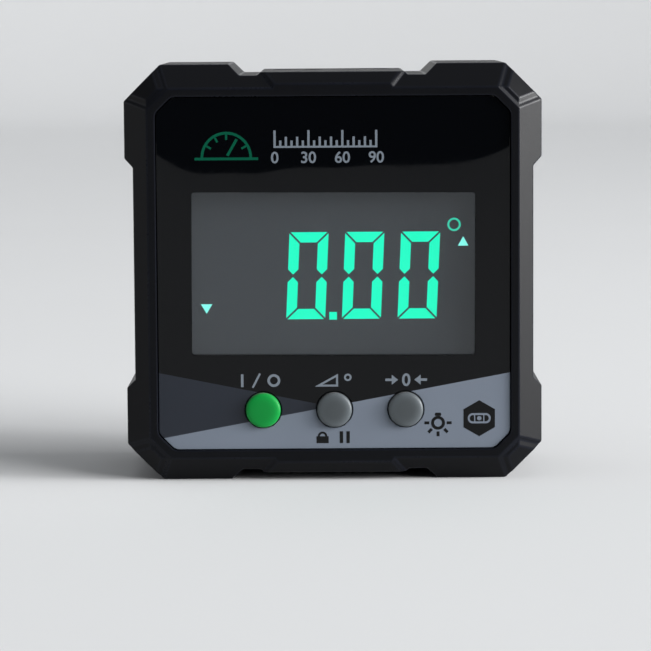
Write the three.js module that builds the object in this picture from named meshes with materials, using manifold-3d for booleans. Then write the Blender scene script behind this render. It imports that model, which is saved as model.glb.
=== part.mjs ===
// A digital inclinometer: a square gauge box with bumper corners, magnets in its four edges, a lit
// display over three push buttons, and two cells behind a screwed cover in its back.
// Millimetres. +X is right, +Y is back and +Z is up, so the display faces -Y. The origin is on the
// surface that the box stands on, under its middle.
//
// Inside the box group X and Z run from the middle of the square, and Y is the depth behind the
// front rim. Every depth is a running sum of what lies in front of it, and the box is as wide as
// its widest contents need: the cells between the edge magnets, the display frame, the buttons
// below it or the battery cover.

import * as THREE from 'three';
import { ConvexGeometry } from 'three/addons/geometries/ConvexGeometry.js';
import { mergeVertices } from 'three/addons/utils/BufferGeometryUtils.js';
import Module from 'manifold-3d';

const wasm = await Module();
wasm.setup();

// Cells and their compartment
const cellDiameter = 10.5;
const cellLength = 44.5;
const cellNubDiameter = 3.8;
const cellNubLength = 0.9;
const cellEdgeRadius = 0.6;
const cellGap = 0.3;
const springRoom = 2.7;
const contactThickness = 0.4;
const compartmentWall = 1.2;
const compartmentFloor = 1.6;

// Magnets, round discs glued into blind pockets in the four edges
const magnetDiameter = 8;
const magnetThickness = 3;
const magnetSink = 0.1;
const magnetGlueGap = 0.05;
const magnetPocketWall = 0.8;
const magnetSpacing = 2.4;
const sideMagnetSpacing = 11;
const pocketGap = 0.6;

// Outline of the box, seen from the front: bumpers at the corners and shallow reliefs between them
const sideRelief = 1.3;
const topRelief = 1.65;
const padRelief = 1.15;
const bodyChamfer = 5.4;
const topFootLength = 10.2;
const sideFootLength = 8.5;
const notchWidth = 2.6;

// Bevel from the outline up to the rim, and the raised pads on it
const bevelRun = 3.5;
const bevelDepth = 3;
const rimChamfer = 3.1;
const cornerPadHeight = 0.45;
const cornerPadInset = 0.39;
const cornerPadSetback = 0.32;
const centrePadHeight = 0.4;
const centrePadHalfLength = 8.9;
const centrePadFlareShare = 0.94;

// Shell walls, and the seal in the joint between the shells
const sideWall = 2.5;
const frontWall = 2;
const rearWall = 2.2;
const cavityChamfer = 5;
const shellSealWidth = 0.7;
const shellSealDepth = 0.7;
const shellSealGap = 0.05;
const shellSealInset = 0.85;
const shellSealChamfer = 4.5;
const partingLead = 0.3;

// Display lens
const rimWidth = 1.25;
const panelMargin = 1.55;
const lensGap = 0.1;
const lensRecess = 0.4;
const lensThickness = 2;
const lensChamfer = 2.4;
const lensCornerRadius = 0.6;
const adhesiveThickness = 0.2;
const adhesiveWidth = 1.6;

// Display glass, its frame and its lighting
const lcdWidth = 46;
const lcdHeight = 30;
const lcdThickness = 2.8;
const lcdLip = 0.6;
const lcdGap = 0.2;
const lcdFrameWall = 1.6;
const windowLapX = 1;
const windowLapZ = 1.95;
const guideThickness = 3;
const guideGap = 0.1;
const reflectorThickness = 0.2;
const connectorWidth = 2;
const connectorInset = 2;
const ledLength = 3;
const ledWidth = 1.6;
const ledSpacing = 12;

// Circuit board and what is soldered to its back
const boardThickness = 1.6;
const boardGap = 1.2;
const boardBossGap = 0.3;
const componentSpace = 6.3;
const chipSize = 8;
const chipThickness = 1.1;
const chipX = -2;
const chipZ = 8;
const sensorSize = 3;
const sensorThickness = 0.9;
const sensorX = 9;
const sensorZ = -6;
const crystalLength = 3.2;
const crystalWidth = 1.5;
const crystalThickness = 0.8;
const crystalX = 6.5;
const crystalZ = 10;

// Buttons, their switches and their seal
const buttonDiameter = 5;
const buttonPitch = 10.6;
const buttonRise = 1;
const buttonDome = 0.25;
const buttonEdgeRadius = 0.45;
const buttonHoleGap = 0.25;
const buttonTravel = 0.5;
const buttonFlangeWidth = 0.8;
const buttonFlangeThickness = 0.8;
const buttonPostDiameter = 2;
const buttonSealThickness = 0.4;
const buttonSealMargin = 0.4;
const buttonFrameGap = 0.2;
const switchSize = 4.5;
const switchHeight = 2;
const switchFloor = 0.15;
const plungerDiameter = 2.2;
const plungerRise = 0.8;
const plungerGap = 0.15;
const plungerFootGap = 0.05;

// Screws: four through the shells, four in the board and two in the battery cover
const shellBossInset = 4;
const shellBossRadius = 2.9;
const shellScrewRadius = 1;
const shellScrewLength = 16;
const shellScrewHeadRadius = 1.9;
const shellScrewHeadHeight = 1.4;
const shellScrewSink = 7;
const shellPilotDepth = 1.3;
const boardPostRadius = 2;
const boardPostGap = 0.9;
const boardScrewRadius = 0.75;
const boardScrewLength = 5;
const boardScrewHeadRadius = 1.5;
const boardScrewHeadHeight = 0.8;
const coverScrewRadius = 0.9;
const coverScrewLength = 6;
const coverScrewHeadRadius = 1.75;
const coverScrewHeadHeight = 0.9;
const coverScrewSeat = 0.7;
const coverBossRadius = 2.35;
const coverBossBite = 0.6;
const screwGap = 0.06;
const headGap = 0.25;
const slotWidth = 0.5;
const slotDepth = 0.45;

// Battery cover
const coverThickness = 2.4;
const coverLap = 1.5;
const coverEdge = 1.2;
const coverGap = 0.15;
const coverCornerRadius = 2;
const coverSealThickness = 0.4;
const coverSealWidth = 1;
const coverSealInset = 0.3;
const coverSlab = 1.4;
const gripLength = 16;
const gripWidth = 0.9;
const gripPitch = 2;
const gripDepth = 0.4;

// Battery contacts, springs and leads
const contactWidth = 8;
const contactHeight = 8.4;
const tabWidth = 2;
const tabReach = 0.8;
const tabGap = 0.2;
const springWireDiameter = 0.6;
const springWideRadius = 3.4;
const springNarrowRadius = 2.2;
const springEndGap = 0.03;
const leadDiameter = 0.9;
const leadRun = 7;
const leadSwing = 3.2;
const leadGap = 0.05;

// Counts: a cut runs past its faces by the overrun, and round shapes are faceted by these
const overrun = 1;
const roundSides = 24;
const smallSides = 16;
const edgeSteps = 2;
const cornerSteps = 3;
const gripBars = 5;
const springTurns = 3.25;
const springStepsPerTurn = 12;
const wireSides = 6;
const leadSides = 8;
const leadSteps = 16;
const mergeStep = 1e-4;

// Widths worked out from the middle outwards
const compartmentHalfLength = (cellLength + springRoom) / 2 + contactThickness;
const compartmentHalfHeight = cellDiameter + cellGap * 1.5;
const cellOffset = (cellDiameter + cellGap) / 2;
const magnetPocketDepth = magnetThickness + magnetSink;
const magnetRoom = magnetPocketWall + magnetPocketDepth + sideRelief;
const lcdFrameHalfX = lcdWidth / 2 + lcdGap + lcdFrameWall;
const lcdFrameHalfZ = lcdHeight / 2 + lcdGap + lcdFrameWall;
const flangeRadius = buttonDiameter / 2 + buttonFlangeWidth;
const buttonHoleRadius = buttonDiameter / 2 + buttonHoleGap;
const buttonZ = -(lcdFrameHalfZ + buttonFrameGap + flangeRadius);
const boardPostX = buttonPitch + flangeRadius + boardPostGap + boardPostRadius;
const boardPostZ = -buttonZ;
const coverScrewZ = compartmentHalfHeight + compartmentWall + coverBossRadius - coverBossBite;
const coverHalfX = compartmentHalfLength + coverLap;
const coverHalfZ = coverScrewZ + coverScrewHeadRadius + coverEdge;
const panelEdge = panelMargin + lensGap + rimWidth + bevelRun;
const bodyHalf = Math.max(
  compartmentHalfLength + compartmentWall + pocketGap + magnetRoom,
  coverHalfX + coverGap + compartmentWall + bevelRun,
  coverHalfZ + coverGap + compartmentWall + bevelRun,
  lcdFrameHalfX + boardGap + sideWall + sideRelief,
  flangeRadius - buttonZ + panelEdge,
  boardPostX + boardPostRadius + panelEdge,
);
const rimHalf = bodyHalf - bevelRun;
const cavityHalf = bodyHalf - sideRelief - sideWall;
const lensPocketHalf = rimHalf - rimWidth;
const lensHalf = lensPocketHalf - lensGap;
const bossOffset = cavityHalf - shellBossInset;
const magnetX = (magnetDiameter + magnetSpacing) / 2;
const magnetZ = (magnetDiameter + sideMagnetSpacing) / 2;

// Depths worked out from the front rim backwards
const lensBack = lensRecess + lensThickness;
const wallFront = lensBack + adhesiveThickness;
const lcdFront = wallFront + lcdLip;
const wallBack = wallFront + frontWall;
const lcdBack = lcdFront + lcdThickness;
const guideFront = lcdBack + guideGap;
const guideBack = guideFront + guideThickness;
const reflectorBack = guideBack + reflectorThickness;
const boardFront = reflectorBack + guideGap;
const boardBack = boardFront + boardThickness;
const compartmentFront = boardBack + componentSpace;
const compartmentBase = compartmentFront + compartmentFloor;
const cellDepth = compartmentBase + cellGap + cellDiameter / 2;
const coverInner = compartmentBase + cellGap * 2 + cellDiameter;
const rearFace = coverInner + coverThickness;
const coverSeat = coverInner - coverSealThickness;
const slabFront = coverSeat - coverSlab;
const cavityBack = rearFace - rearWall;
const parting = compartmentFront - partingLead;
const flangeFront = wallBack + buttonSealThickness;
const flangeBack = flangeFront + buttonFlangeThickness;
const switchTop = boardFront - switchHeight;
const plungerTop = switchTop - plungerRise;
const shellScrewSeat = rearFace - shellScrewSink;
const magnetDepth = (parting + rearFace - bevelDepth) / 2;
const buttonProud = buttonRise - lensRecess;

// Finishes
const finish = (color, roughness, metalness = 0) =>
  new THREE.MeshStandardMaterial({ color, roughness, metalness });
const blackPlastic = finish(0x1b1c21, 0.55);
const blackRubber = finish(0x141416, 0.8);
const lensAcrylic = finish(0x0b0c0d, 0.12);
const adhesiveFilm = finish(0xd8d4c8, 0.6);
const displayGlass = finish(0x43484b, 0.2);
const framePlastic = finish(0xe6e6e2, 0.6);
const guideAcrylic = finish(0xbff5df, 0.3);
const reflectorFilm = finish(0xf4f4f4, 0.3);
const ledResin = finish(0x1fe6a8, 0.3);
const connectorRubber = finish(0xd9a7b0, 0.7);
const boardLaminate = finish(0x14562f, 0.5);
const chipResin = finish(0x1a1a1a, 0.5);
const sensorLid = finish(0x3a3a3c, 0.4);
const crystalCan = finish(0xc8cacc, 0.3, 1);
const greenPlastic = finish(0x1f9a3c, 0.4);
const greyPlastic = finish(0x7d8484, 0.45);
const sealRubber = finish(0x6f7377, 0.8);
const switchPlastic = finish(0x222222, 0.6);
const plungerPlastic = finish(0x9a9a9a, 0.5);
const cellSleeve = finish(0x2f4a7a, 0.35, 0.3);
const nickel = finish(0xc9c6bd, 0.25, 1);
const redLead = finish(0xb3211d, 0.5);
const blackLead = finish(0x17171a, 0.5);
const screwSteel = finish(0x8d8f93, 0.35, 1);

// A closed solid from a three.js geometry, and a geometry from a solid
function solidOf(geometry) {
  const bare = geometry.index ? geometry.toNonIndexed() : geometry.clone();
  bare.deleteAttribute('normal');
  bare.deleteAttribute('uv');
  const merged = mergeVertices(bare, mergeStep);
  return new wasm.Manifold(
    new wasm.Mesh({
      numProp: 3,
      vertProperties: merged.getAttribute('position').array,
      triVerts: new Uint32Array(merged.index.array),
    }),
  );
}

function geometryOf(solid) {
  const mesh = solid.getMesh();
  const geometry = new THREE.BufferGeometry();
  geometry.setAttribute('position', new THREE.BufferAttribute(mesh.vertProperties, 3));
  geometry.setIndex(new THREE.BufferAttribute(mesh.triVerts, 1));
  const faceted = geometry.toNonIndexed();
  faceted.computeVertexNormals();
  return faceted;
}

// A shape drawn in X and Z, pushed from one depth back to another
function slab(shape, front, back) {
  const geometry = new THREE.ExtrudeGeometry(shape, {
    depth: back - front,
    bevelEnabled: false,
    curveSegments: cornerSteps,
  });
  return solidOf(geometry.rotateX(Math.PI / 2).translate(0, back, 0));
}

function block([x0, x1], [y0, y1], [z0, z1]) {
  return solidOf(
    new THREE.BoxGeometry(x1 - x0, y1 - y0, z1 - z0).translate((x0 + x1) / 2, (y0 + y1) / 2, (z0 + z1) / 2),
  );
}

// A round bar along the depth
function rod(x, z, radius, front, back, sides = smallSides) {
  return solidOf(
    new THREE.CylinderGeometry(radius, radius, back - front, sides).translate(x, (front + back) / 2, z),
  );
}

// A shape turned about the depth axis. The profile runs from the axis at the back to the axis at the front.
function turned(profile, sides) {
  const points = profile.map(([radius, depth]) => new THREE.Vector2(radius, depth));
  return new THREE.LatheGeometry(points, sides);
}

// Points along a quarter circle from one corner of a turned profile's edge to the other
function roundedEdge(radius, depth, edge, towards) {
  return Array.from({ length: edgeSteps + 1 }, (_, step) => {
    const angle = (step / edgeSteps) * (Math.PI / 2);
    return [radius - edge + edge * Math.cos(angle), depth + towards * edge * Math.sin(angle)];
  });
}

// Closed shapes in X and Z
function polygon(points) {
  return new THREE.Shape(points.map(([x, z]) => new THREE.Vector2(x, z)));
}

function octagonPoints(halfX, halfZ, cornerPlane) {
  const reach = cornerPlane * Math.SQRT2;
  return [
    [halfX, reach - halfX],
    [reach - halfZ, halfZ],
    [halfZ - reach, halfZ],
    [-halfX, reach - halfX],
    [-halfX, halfX - reach],
    [halfZ - reach, -halfZ],
    [reach - halfZ, -halfZ],
    [halfX, halfX - reach],
  ];
}

// How far the corner planes of a chamfered square lie from its middle
function cornerPlaneOf(half, chamfer) {
  return (half * 2 - chamfer) / Math.SQRT2;
}

function chamferedSquare(half, chamfer) {
  return polygon(octagonPoints(half, half, cornerPlaneOf(half, chamfer)));
}

// A closed outline whose every corner is rounded by a curve that starts and ends one radius away
function softened(points, radius) {
  const corners = points.map(([x, z]) => new THREE.Vector2(x, z));
  const shape = new THREE.Shape();
  corners.forEach((corner, i) => {
    const before = corners[(i + corners.length - 1) % corners.length];
    const after = corners[(i + 1) % corners.length];
    const start = corner.clone().add(before.clone().sub(corner).setLength(radius));
    const end = corner.clone().add(after.clone().sub(corner).setLength(radius));
    if (i === 0) shape.moveTo(start.x, start.y);
    else shape.lineTo(start.x, start.y);
    shape.quadraticCurveTo(corner.x, corner.y, end.x, end.y);
  });
  shape.closePath();
  return shape;
}

function rectanglePoints(halfX, halfZ) {
  return [
    [halfX, -halfZ],
    [halfX, halfZ],
    [-halfX, halfZ],
    [-halfX, -halfZ],
  ];
}

// The places at the same distance each side of the middle, both ways
const fourWays = (x, z) => [
  [-x, -z],
  [x, -z],
  [-x, z],
  [x, z],
];

// Shells: the stepped outline meets a bevelled block with raised pads, and both shells share the form
function bodyOutline() {
  const sideStep = bodyHalf - bodyChamfer - sideFootLength;
  const footEnd = bodyHalf - bodyChamfer - topFootLength;
  const notchEnd = footEnd - topRelief - notchWidth;
  const padRise = topRelief - padRelief;
  const quarter = [
    [bodyHalf - sideRelief, sideStep - sideRelief],
    [bodyHalf, sideStep],
    [bodyHalf, bodyHalf - bodyChamfer],
    [bodyHalf - bodyChamfer, bodyHalf],
    [footEnd, bodyHalf],
    [footEnd - topRelief, bodyHalf - topRelief],
    [notchEnd, bodyHalf - topRelief],
    [notchEnd - padRise, bodyHalf - padRelief],
  ];
  const flipped = (points, x, z) => points.map(([px, pz]) => [px * x, pz * z]);
  const backwards = [...quarter].reverse();
  return polygon([
    ...quarter,
    ...flipped(backwards, -1, 1),
    ...flipped(quarter, -1, -1),
    ...flipped(backwards, 1, -1),
  ]);
}

// A block that widens from its face to beyond the outline, then runs straight on to the parting plane
function flaredBlock(face, parted, setback, halfX, halfZ, cornerPlane, flareX, flareZ, flareCorner) {
  const inwards = Math.sign(parted - face);
  const flared = bevelDepth + overrun;
  const ring = (depth, grown) =>
    octagonPoints(halfX + flareX * grown, halfZ + flareZ * grown, cornerPlane + flareCorner * grown).map(
      ([x, z]) => new THREE.Vector3(x, face + inwards * depth, z),
    );
  const whole = Math.abs(parted - face);
  return solidOf(
    new ConvexGeometry([...ring(setback, setback), ...ring(flared, flared), ...ring(whole, flared)]),
  );
}

function shellForm(face, parted) {
  const flare = bevelRun / bevelDepth;
  const rimCorner = cornerPlaneOf(rimHalf, rimChamfer);
  const flareCorner = (cornerPlaneOf(bodyHalf, bodyChamfer) - rimCorner) / bevelDepth;
  const cornerRise = cornerPadHeight * Math.hypot(1, flareCorner);
  const centreRise = centrePadHeight * Math.hypot(1, flare);
  const centreHalfZ = rimHalf + centreRise;
  const main = flaredBlock(face, parted, 0, rimHalf, rimHalf, rimCorner, flare, flare, flareCorner);
  const corners = flaredBlock(
    face,
    parted,
    cornerPadSetback,
    rimHalf - cornerPadInset,
    rimHalf - cornerPadInset,
    rimCorner + cornerRise,
    flare,
    flare,
    flareCorner,
  );
  const centre = flaredBlock(
    face,
    parted,
    0,
    centrePadHalfLength,
    centreHalfZ,
    (centrePadHalfLength + centreHalfZ - centrePadHeight) / Math.SQRT2,
    centrePadFlareShare,
    flare,
    (centrePadFlareShare + flare) / Math.SQRT2,
  );
  const outline = slab(bodyOutline(), Math.min(face, parted), Math.max(face, parted));
  return main.add(corners).add(centre).intersect(outline);
}

function frontShell() {
  let shell = shellForm(0, parting);
  shell = shell.subtract(slab(chamferedSquare(cavityHalf, cavityChamfer), wallBack, parting + overrun));
  for (const [x, z] of fourWays(bossOffset, bossOffset))
    shell = shell.add(rod(x, z, shellBossRadius, wallBack, parting, roundSides));
  for (const [x, z] of fourWays(boardPostX, boardPostZ))
    shell = shell.add(rod(x, z, boardPostRadius, wallBack, boardFront));
  const lensSeat = octagonPoints(lensPocketHalf, lensPocketHalf, cornerPlaneOf(lensPocketHalf, lensChamfer));
  shell = shell.subtract(slab(softened(lensSeat, lensCornerRadius), -overrun, wallFront));
  shell = shell.subtract(
    block(
      [windowLapX - lcdWidth / 2, lcdWidth / 2 - windowLapX],
      [wallFront - overrun, wallBack + overrun],
      [windowLapZ - lcdHeight / 2, lcdHeight / 2 - windowLapZ],
    ),
  );
  const lcdHalfX = lcdWidth / 2 + lcdGap;
  const lcdHalfZ = lcdHeight / 2 + lcdGap;
  shell = shell.subtract(block([-lcdHalfX, lcdHalfX], [lcdFront, wallBack + overrun], [-lcdHalfZ, lcdHalfZ]));
  for (const x of [-buttonPitch, 0, buttonPitch])
    shell = shell.subtract(
      rod(x, buttonZ, buttonHoleRadius, wallFront - overrun, wallBack + overrun, roundSides),
    );
  const pilotTip = shellScrewSeat - shellScrewLength - shellPilotDepth;
  for (const [x, z] of fourWays(bossOffset, bossOffset))
    shell = shell.subtract(rod(x, z, shellScrewRadius + screwGap, pilotTip, parting + overrun));
  const boardPilotTip = boardBack - boardScrewLength - boardScrewRadius;
  for (const [x, z] of fourWays(boardPostX, boardPostZ))
    shell = shell.subtract(rod(x, z, boardScrewRadius + screwGap, boardPilotTip, boardFront + overrun));
  return shell;
}

// A round bar that runs from one edge of the box towards its middle
function edgeRod(edge, along, radius, outer, inner) {
  const bar = new THREE.CylinderGeometry(radius, radius, outer - inner, roundSides);
  bar.translate(0, (outer + inner) / 2, 0);
  const quarterTurns = { right: 1, top: 0, left: -1, bottom: 2 };
  bar.rotateX(Math.PI / 2).rotateY((quarterTurns[edge] * Math.PI) / 2);
  const upright = edge === 'left' || edge === 'right';
  return bar.translate(upright ? 0 : along, magnetDepth, upright ? along : 0);
}

// Where each magnet lies: its edge, its place along that edge and the level of the surface there
const magnetEdges = [
  { edge: 'bottom', spread: magnetX, level: bodyHalf - padRelief },
  { edge: 'top', spread: magnetX, level: bodyHalf - padRelief },
  { edge: 'left', spread: magnetZ, level: bodyHalf - sideRelief },
  { edge: 'right', spread: magnetZ, level: bodyHalf - sideRelief },
];
const magnetPlaces = magnetEdges.flatMap(({ edge, spread, level }) =>
  [-spread, spread].map((along, i) => ({ name: `magnet_${edge}_${i + 1}`, edge, along, level })),
);

function rearShell() {
  const compartmentOuterX = compartmentHalfLength + compartmentWall;
  const compartmentOuterZ = compartmentHalfHeight + compartmentWall;
  const join = rearFace - rearWall / 2;
  let shell = shellForm(rearFace, parting);
  shell = shell.subtract(slab(chamferedSquare(cavityHalf, cavityChamfer), parting - overrun, cavityBack));
  for (const [x, z] of fourWays(bossOffset, bossOffset))
    shell = shell.add(rod(x, z, shellBossRadius, parting, join, roundSides));
  const slabHalfZ = coverHalfZ + coverGap + compartmentWall;
  const slabHalfX = cavityHalf + sideWall / 2;
  shell = shell.add(block([-slabHalfX, slabHalfX], [slabFront, join], [-slabHalfZ, slabHalfZ]));
  shell = shell.add(
    block(
      [-compartmentOuterX, compartmentOuterX],
      [compartmentFront, join],
      [-compartmentOuterZ, compartmentOuterZ],
    ),
  );
  const coverScrewTip = coverInner + coverScrewSeat - coverScrewLength;
  const coverBossFront = coverScrewTip - coverScrewRadius - compartmentWall;
  for (const z of [-coverScrewZ, coverScrewZ])
    shell = shell.add(rod(0, z, coverBossRadius, coverBossFront, join, roundSides));
  for (const { edge, along, level } of magnetPlaces) {
    const bossRadius = magnetDiameter / 2 + magnetPocketWall;
    const inner = level - magnetPocketDepth - magnetPocketWall;
    shell = shell.add(solidOf(edgeRod(edge, along, bossRadius, cavityHalf + sideWall / 2, inner)));
  }
  for (const { edge, along, level } of magnetPlaces) {
    const pocketRadius = magnetDiameter / 2 + magnetGlueGap;
    shell = shell.subtract(
      solidOf(edgeRod(edge, along, pocketRadius, level + overrun, level - magnetPocketDepth)),
    );
  }
  const recess = rectanglePoints(coverHalfX + coverGap, coverHalfZ + coverGap);
  shell = shell.subtract(
    slab(softened(recess, coverCornerRadius + coverGap), coverSeat, rearFace + overrun),
  );
  shell = shell.subtract(
    block(
      [-compartmentHalfLength, compartmentHalfLength],
      [compartmentBase, rearFace],
      [-compartmentHalfHeight, compartmentHalfHeight],
    ),
  );
  for (const z of [-cellOffset, cellOffset])
    shell = shell.subtract(
      block(
        [-compartmentHalfLength - tabGap, contactThickness + tabGap - compartmentHalfLength],
        [compartmentFront - overrun, compartmentBase + overrun],
        [z - tabWidth / 2 - tabGap, z + tabWidth / 2 + tabGap],
      ),
    );
  for (const z of [-coverScrewZ, coverScrewZ])
    shell = shell.subtract(
      rod(0, z, coverScrewRadius + screwGap, coverScrewTip - coverScrewRadius, rearFace),
    );
  for (const [x, z] of fourWays(bossOffset, bossOffset)) {
    shell = shell.subtract(rod(x, z, shellScrewRadius + screwGap, parting - overrun, rearFace));
    shell = shell.subtract(
      rod(x, z, shellScrewHeadRadius + headGap, shellScrewSeat, rearFace + overrun, roundSides),
    );
  }
  const sealOuter = cavityHalf + shellSealInset + shellSealWidth + shellSealGap;
  const sealInner = cavityHalf + shellSealInset - shellSealGap;
  const groove = slab(sealShape(sealOuter, sealInner), parting - overrun, parting + shellSealDepth);
  return shell.subtract(groove);
}

function sealShape(outerHalf, innerHalf) {
  const shape = chamferedSquare(outerHalf, shellSealChamfer);
  const drawnIn = (outerHalf - innerHalf) * (2 - Math.SQRT2);
  shape.holes.push(chamferedSquare(innerHalf, shellSealChamfer - drawnIn));
  return shape;
}

// A thin plate with one opening
function ringPlate(outer, inner, front, back) {
  outer.holes.push(inner);
  return slab(outer, front, back);
}

// Lens: a softened square with three button holes, on a frame of adhesive film
function lens() {
  const points = octagonPoints(lensHalf, lensHalf, cornerPlaneOf(lensHalf, lensChamfer));
  let plate = slab(softened(points, lensCornerRadius), lensRecess, lensBack);
  for (const x of [-buttonPitch, 0, buttonPitch])
    plate = plate.subtract(
      rod(x, buttonZ, buttonHoleRadius, lensRecess - overrun, lensBack + overrun, roundSides),
    );
  return plate;
}

function adhesiveFrame() {
  const innerHalf = lensHalf - adhesiveWidth;
  const drawnIn = adhesiveWidth * (2 - Math.SQRT2);
  return ringPlate(
    chamferedSquare(lensHalf, lensChamfer),
    chamferedSquare(innerHalf, lensChamfer - drawnIn),
    lensBack,
    wallFront,
  );
}

// Buttons: a cap with a flange behind the wall and a post on the plunger of its switch
function buttonCap() {
  const radius = buttonDiameter / 2;
  const shoulder = buttonDome - buttonProud;
  const profile = [
    [0, plungerTop],
    [buttonPostDiameter / 2, plungerTop],
    [buttonPostDiameter / 2, flangeBack],
    [flangeRadius, flangeBack],
    [flangeRadius, flangeFront],
    [radius, flangeFront],
    ...roundedEdge(radius, shoulder + buttonEdgeRadius, buttonEdgeRadius, -1),
    [0, -buttonProud],
  ];
  return turned(profile.reverse(), roundSides);
}

function switchBody() {
  const half = switchSize / 2;
  const well = rod(0, 0, plungerDiameter / 2 + plungerGap, switchTop - overrun, boardFront - switchFloor);
  return block([-half, half], [switchTop, boardFront], [-half, half]).subtract(well);
}

function plunger() {
  const foot = boardFront - switchFloor - buttonTravel - plungerFootGap;
  return rod(0, 0, plungerDiameter / 2, plungerTop, foot);
}

function buttonSeal() {
  const halfX = buttonPitch + flangeRadius + buttonSealMargin;
  const sheet = polygon(rectanglePoints(halfX, flangeRadius));
  for (const x of [-buttonPitch, 0, buttonPitch]) {
    const hole = new THREE.Path();
    hole.absarc(x, 0, buttonHoleRadius, 0, Math.PI * 2);
    sheet.holes.push(hole);
  }
  const geometry = new THREE.ExtrudeGeometry(sheet, {
    depth: buttonSealThickness,
    bevelEnabled: false,
    curveSegments: roundSides,
  });
  return geometry.rotateX(Math.PI / 2).translate(0, flangeFront, 0);
}

// Circuit board: chamfered to clear the shell bosses
function board() {
  const half = cavityHalf - boardGap;
  const cornerPlane = bossOffset * Math.SQRT2 - shellBossRadius - boardBossGap;
  let plate = slab(polygon(octagonPoints(half, half, cornerPlane)), boardFront, boardBack);
  for (const [x, z] of fourWays(boardPostX, boardPostZ))
    plate = plate.subtract(
      rod(x, z, boardScrewRadius + screwGap, boardFront - overrun, boardBack + overrun),
    );
  return plate;
}

// A screw along the depth, from its tip in front to a domed head at the back with a cross slot
function screw(radius, length, headRadius, headHeight) {
  const profile = [
    [0, -length],
    [radius / 2, -length],
    [radius, radius - length],
    [radius, 0],
    [headRadius, 0],
    ...roundedEdge(headRadius, headHeight / 2, headHeight / 2, 1),
    [0, headHeight],
  ];
  let made = solidOf(turned(profile, smallSides));
  const reach = headRadius - slotWidth;
  const half = slotWidth / 2;
  const depths = [headHeight - slotDepth, headHeight + overrun];
  made = made.subtract(block([-reach, reach], depths, [-half, half]));
  return made.subtract(block([-half, half], depths, [-reach, reach]));
}

// Cells lie along X. Each is turned about its own axis, with its nub at the positive end.
function cell() {
  const radius = cellDiameter / 2;
  const nubBase = cellLength - cellNubLength;
  const profile = [
    [0, 0],
    ...roundedEdge(radius, cellEdgeRadius, cellEdgeRadius, -1).reverse(),
    ...roundedEdge(radius, nubBase - cellEdgeRadius, cellEdgeRadius, 1),
    [cellNubDiameter / 2, nubBase],
    [cellNubDiameter / 2, cellLength],
    [0, cellLength],
  ];
  return turned(profile, roundSides).rotateZ(-Math.PI / 2);
}

// Contact plates stand against the ends of the compartment
function contactPlate(halfWidth) {
  return block(
    [0, contactThickness],
    [compartmentBase, compartmentBase + contactHeight],
    [-halfWidth, halfWidth],
  );
}

function contactWithTab() {
  const tab = block(
    [0, contactThickness],
    [compartmentFront - tabReach, compartmentBase + contactThickness],
    [-tabWidth / 2, tabWidth / 2],
  );
  return contactPlate(contactWidth / 2).add(tab);
}

// A conical compression spring along X, wide end at its plate
class SpringLine extends THREE.Curve {
  getPoint(t) {
    const start = springWireDiameter / 2 + springEndGap;
    const reach = springRoom - start * 2;
    const radius = springWideRadius + (springNarrowRadius - springWideRadius) * t;
    const angle = t * springTurns * Math.PI * 2;
    return new THREE.Vector3(start + reach * t, radius * Math.cos(angle), radius * Math.sin(angle));
  }
}

function roundSection(radius, sides) {
  return new THREE.Shape(
    Array.from({ length: sides }, (_, i) => {
      const angle = (i / sides) * Math.PI * 2;
      return new THREE.Vector2(radius * Math.cos(angle), radius * Math.sin(angle));
    }),
  );
}

function spring() {
  return new THREE.ExtrudeGeometry(roundSection(springWireDiameter / 2, wireSides), {
    extrudePath: new SpringLine(),
    steps: Math.round(springTurns * springStepsPerTurn),
    bevelEnabled: false,
  });
}

// Leads run from a contact's tab across the floor of the compartment and down to the board
const leadStart = compartmentHalfLength - contactThickness - leadGap;
const leadLevel = compartmentFront - leadDiameter / 2 - leadGap * 2;
const leadFoot = boardBack + leadGap;
const leadRouteShares = [
  [0, 0, 0],
  [0.14, 0, 0],
  [0.43, 0.03, 0.28],
  [0.74, 0.12, 0.75],
  [0.94, 0.4, 0.94],
  [1, 0.8, 1],
  [1, 1, 1],
];

function lead() {
  const points = leadRouteShares.map(
    ([run, drop, swing]) =>
      new THREE.Vector3(
        leadRun * run - leadStart,
        leadLevel + (leadFoot - leadLevel) * drop,
        leadSwing * swing,
      ),
  );
  return new THREE.ExtrudeGeometry(roundSection(leadDiameter / 2, leadSides), {
    extrudePath: new THREE.CatmullRomCurve3(points, false, 'centripetal'),
    steps: leadSteps,
    bevelEnabled: false,
  });
}

// Battery cover: a rounded plate with two countersunk screws and a row of grip grooves
function batteryCover() {
  const outline = softened(rectanglePoints(coverHalfX, coverHalfZ), coverCornerRadius);
  let cover = slab(outline, coverInner, rearFace);
  for (const z of [-coverScrewZ, coverScrewZ]) {
    cover = cover.subtract(rod(0, z, coverScrewRadius + screwGap, coverInner - overrun, rearFace));
    cover = cover.subtract(
      rod(0, z, coverScrewHeadRadius + headGap, coverInner + coverScrewSeat, rearFace + overrun, roundSides),
    );
  }
  for (let bar = 0; bar < gripBars; bar += 1) {
    const z = (bar - (gripBars - 1) / 2) * gripPitch;
    cover = cover.subtract(
      block(
        [-gripLength / 2, gripLength / 2],
        [rearFace - gripDepth, rearFace + overrun],
        [z - gripWidth / 2, z + gripWidth / 2],
      ),
    );
  }
  return cover;
}

function coverSeal() {
  const inner = rectanglePoints(
    compartmentHalfLength + coverSealInset,
    compartmentHalfHeight + coverSealInset,
  );
  const outer = rectanglePoints(
    compartmentHalfLength + coverSealInset + coverSealWidth,
    compartmentHalfHeight + coverSealInset + coverSealWidth,
  );
  return ringPlate(polygon(outer), polygon(inner), coverSeat, coverInner);
}

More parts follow.
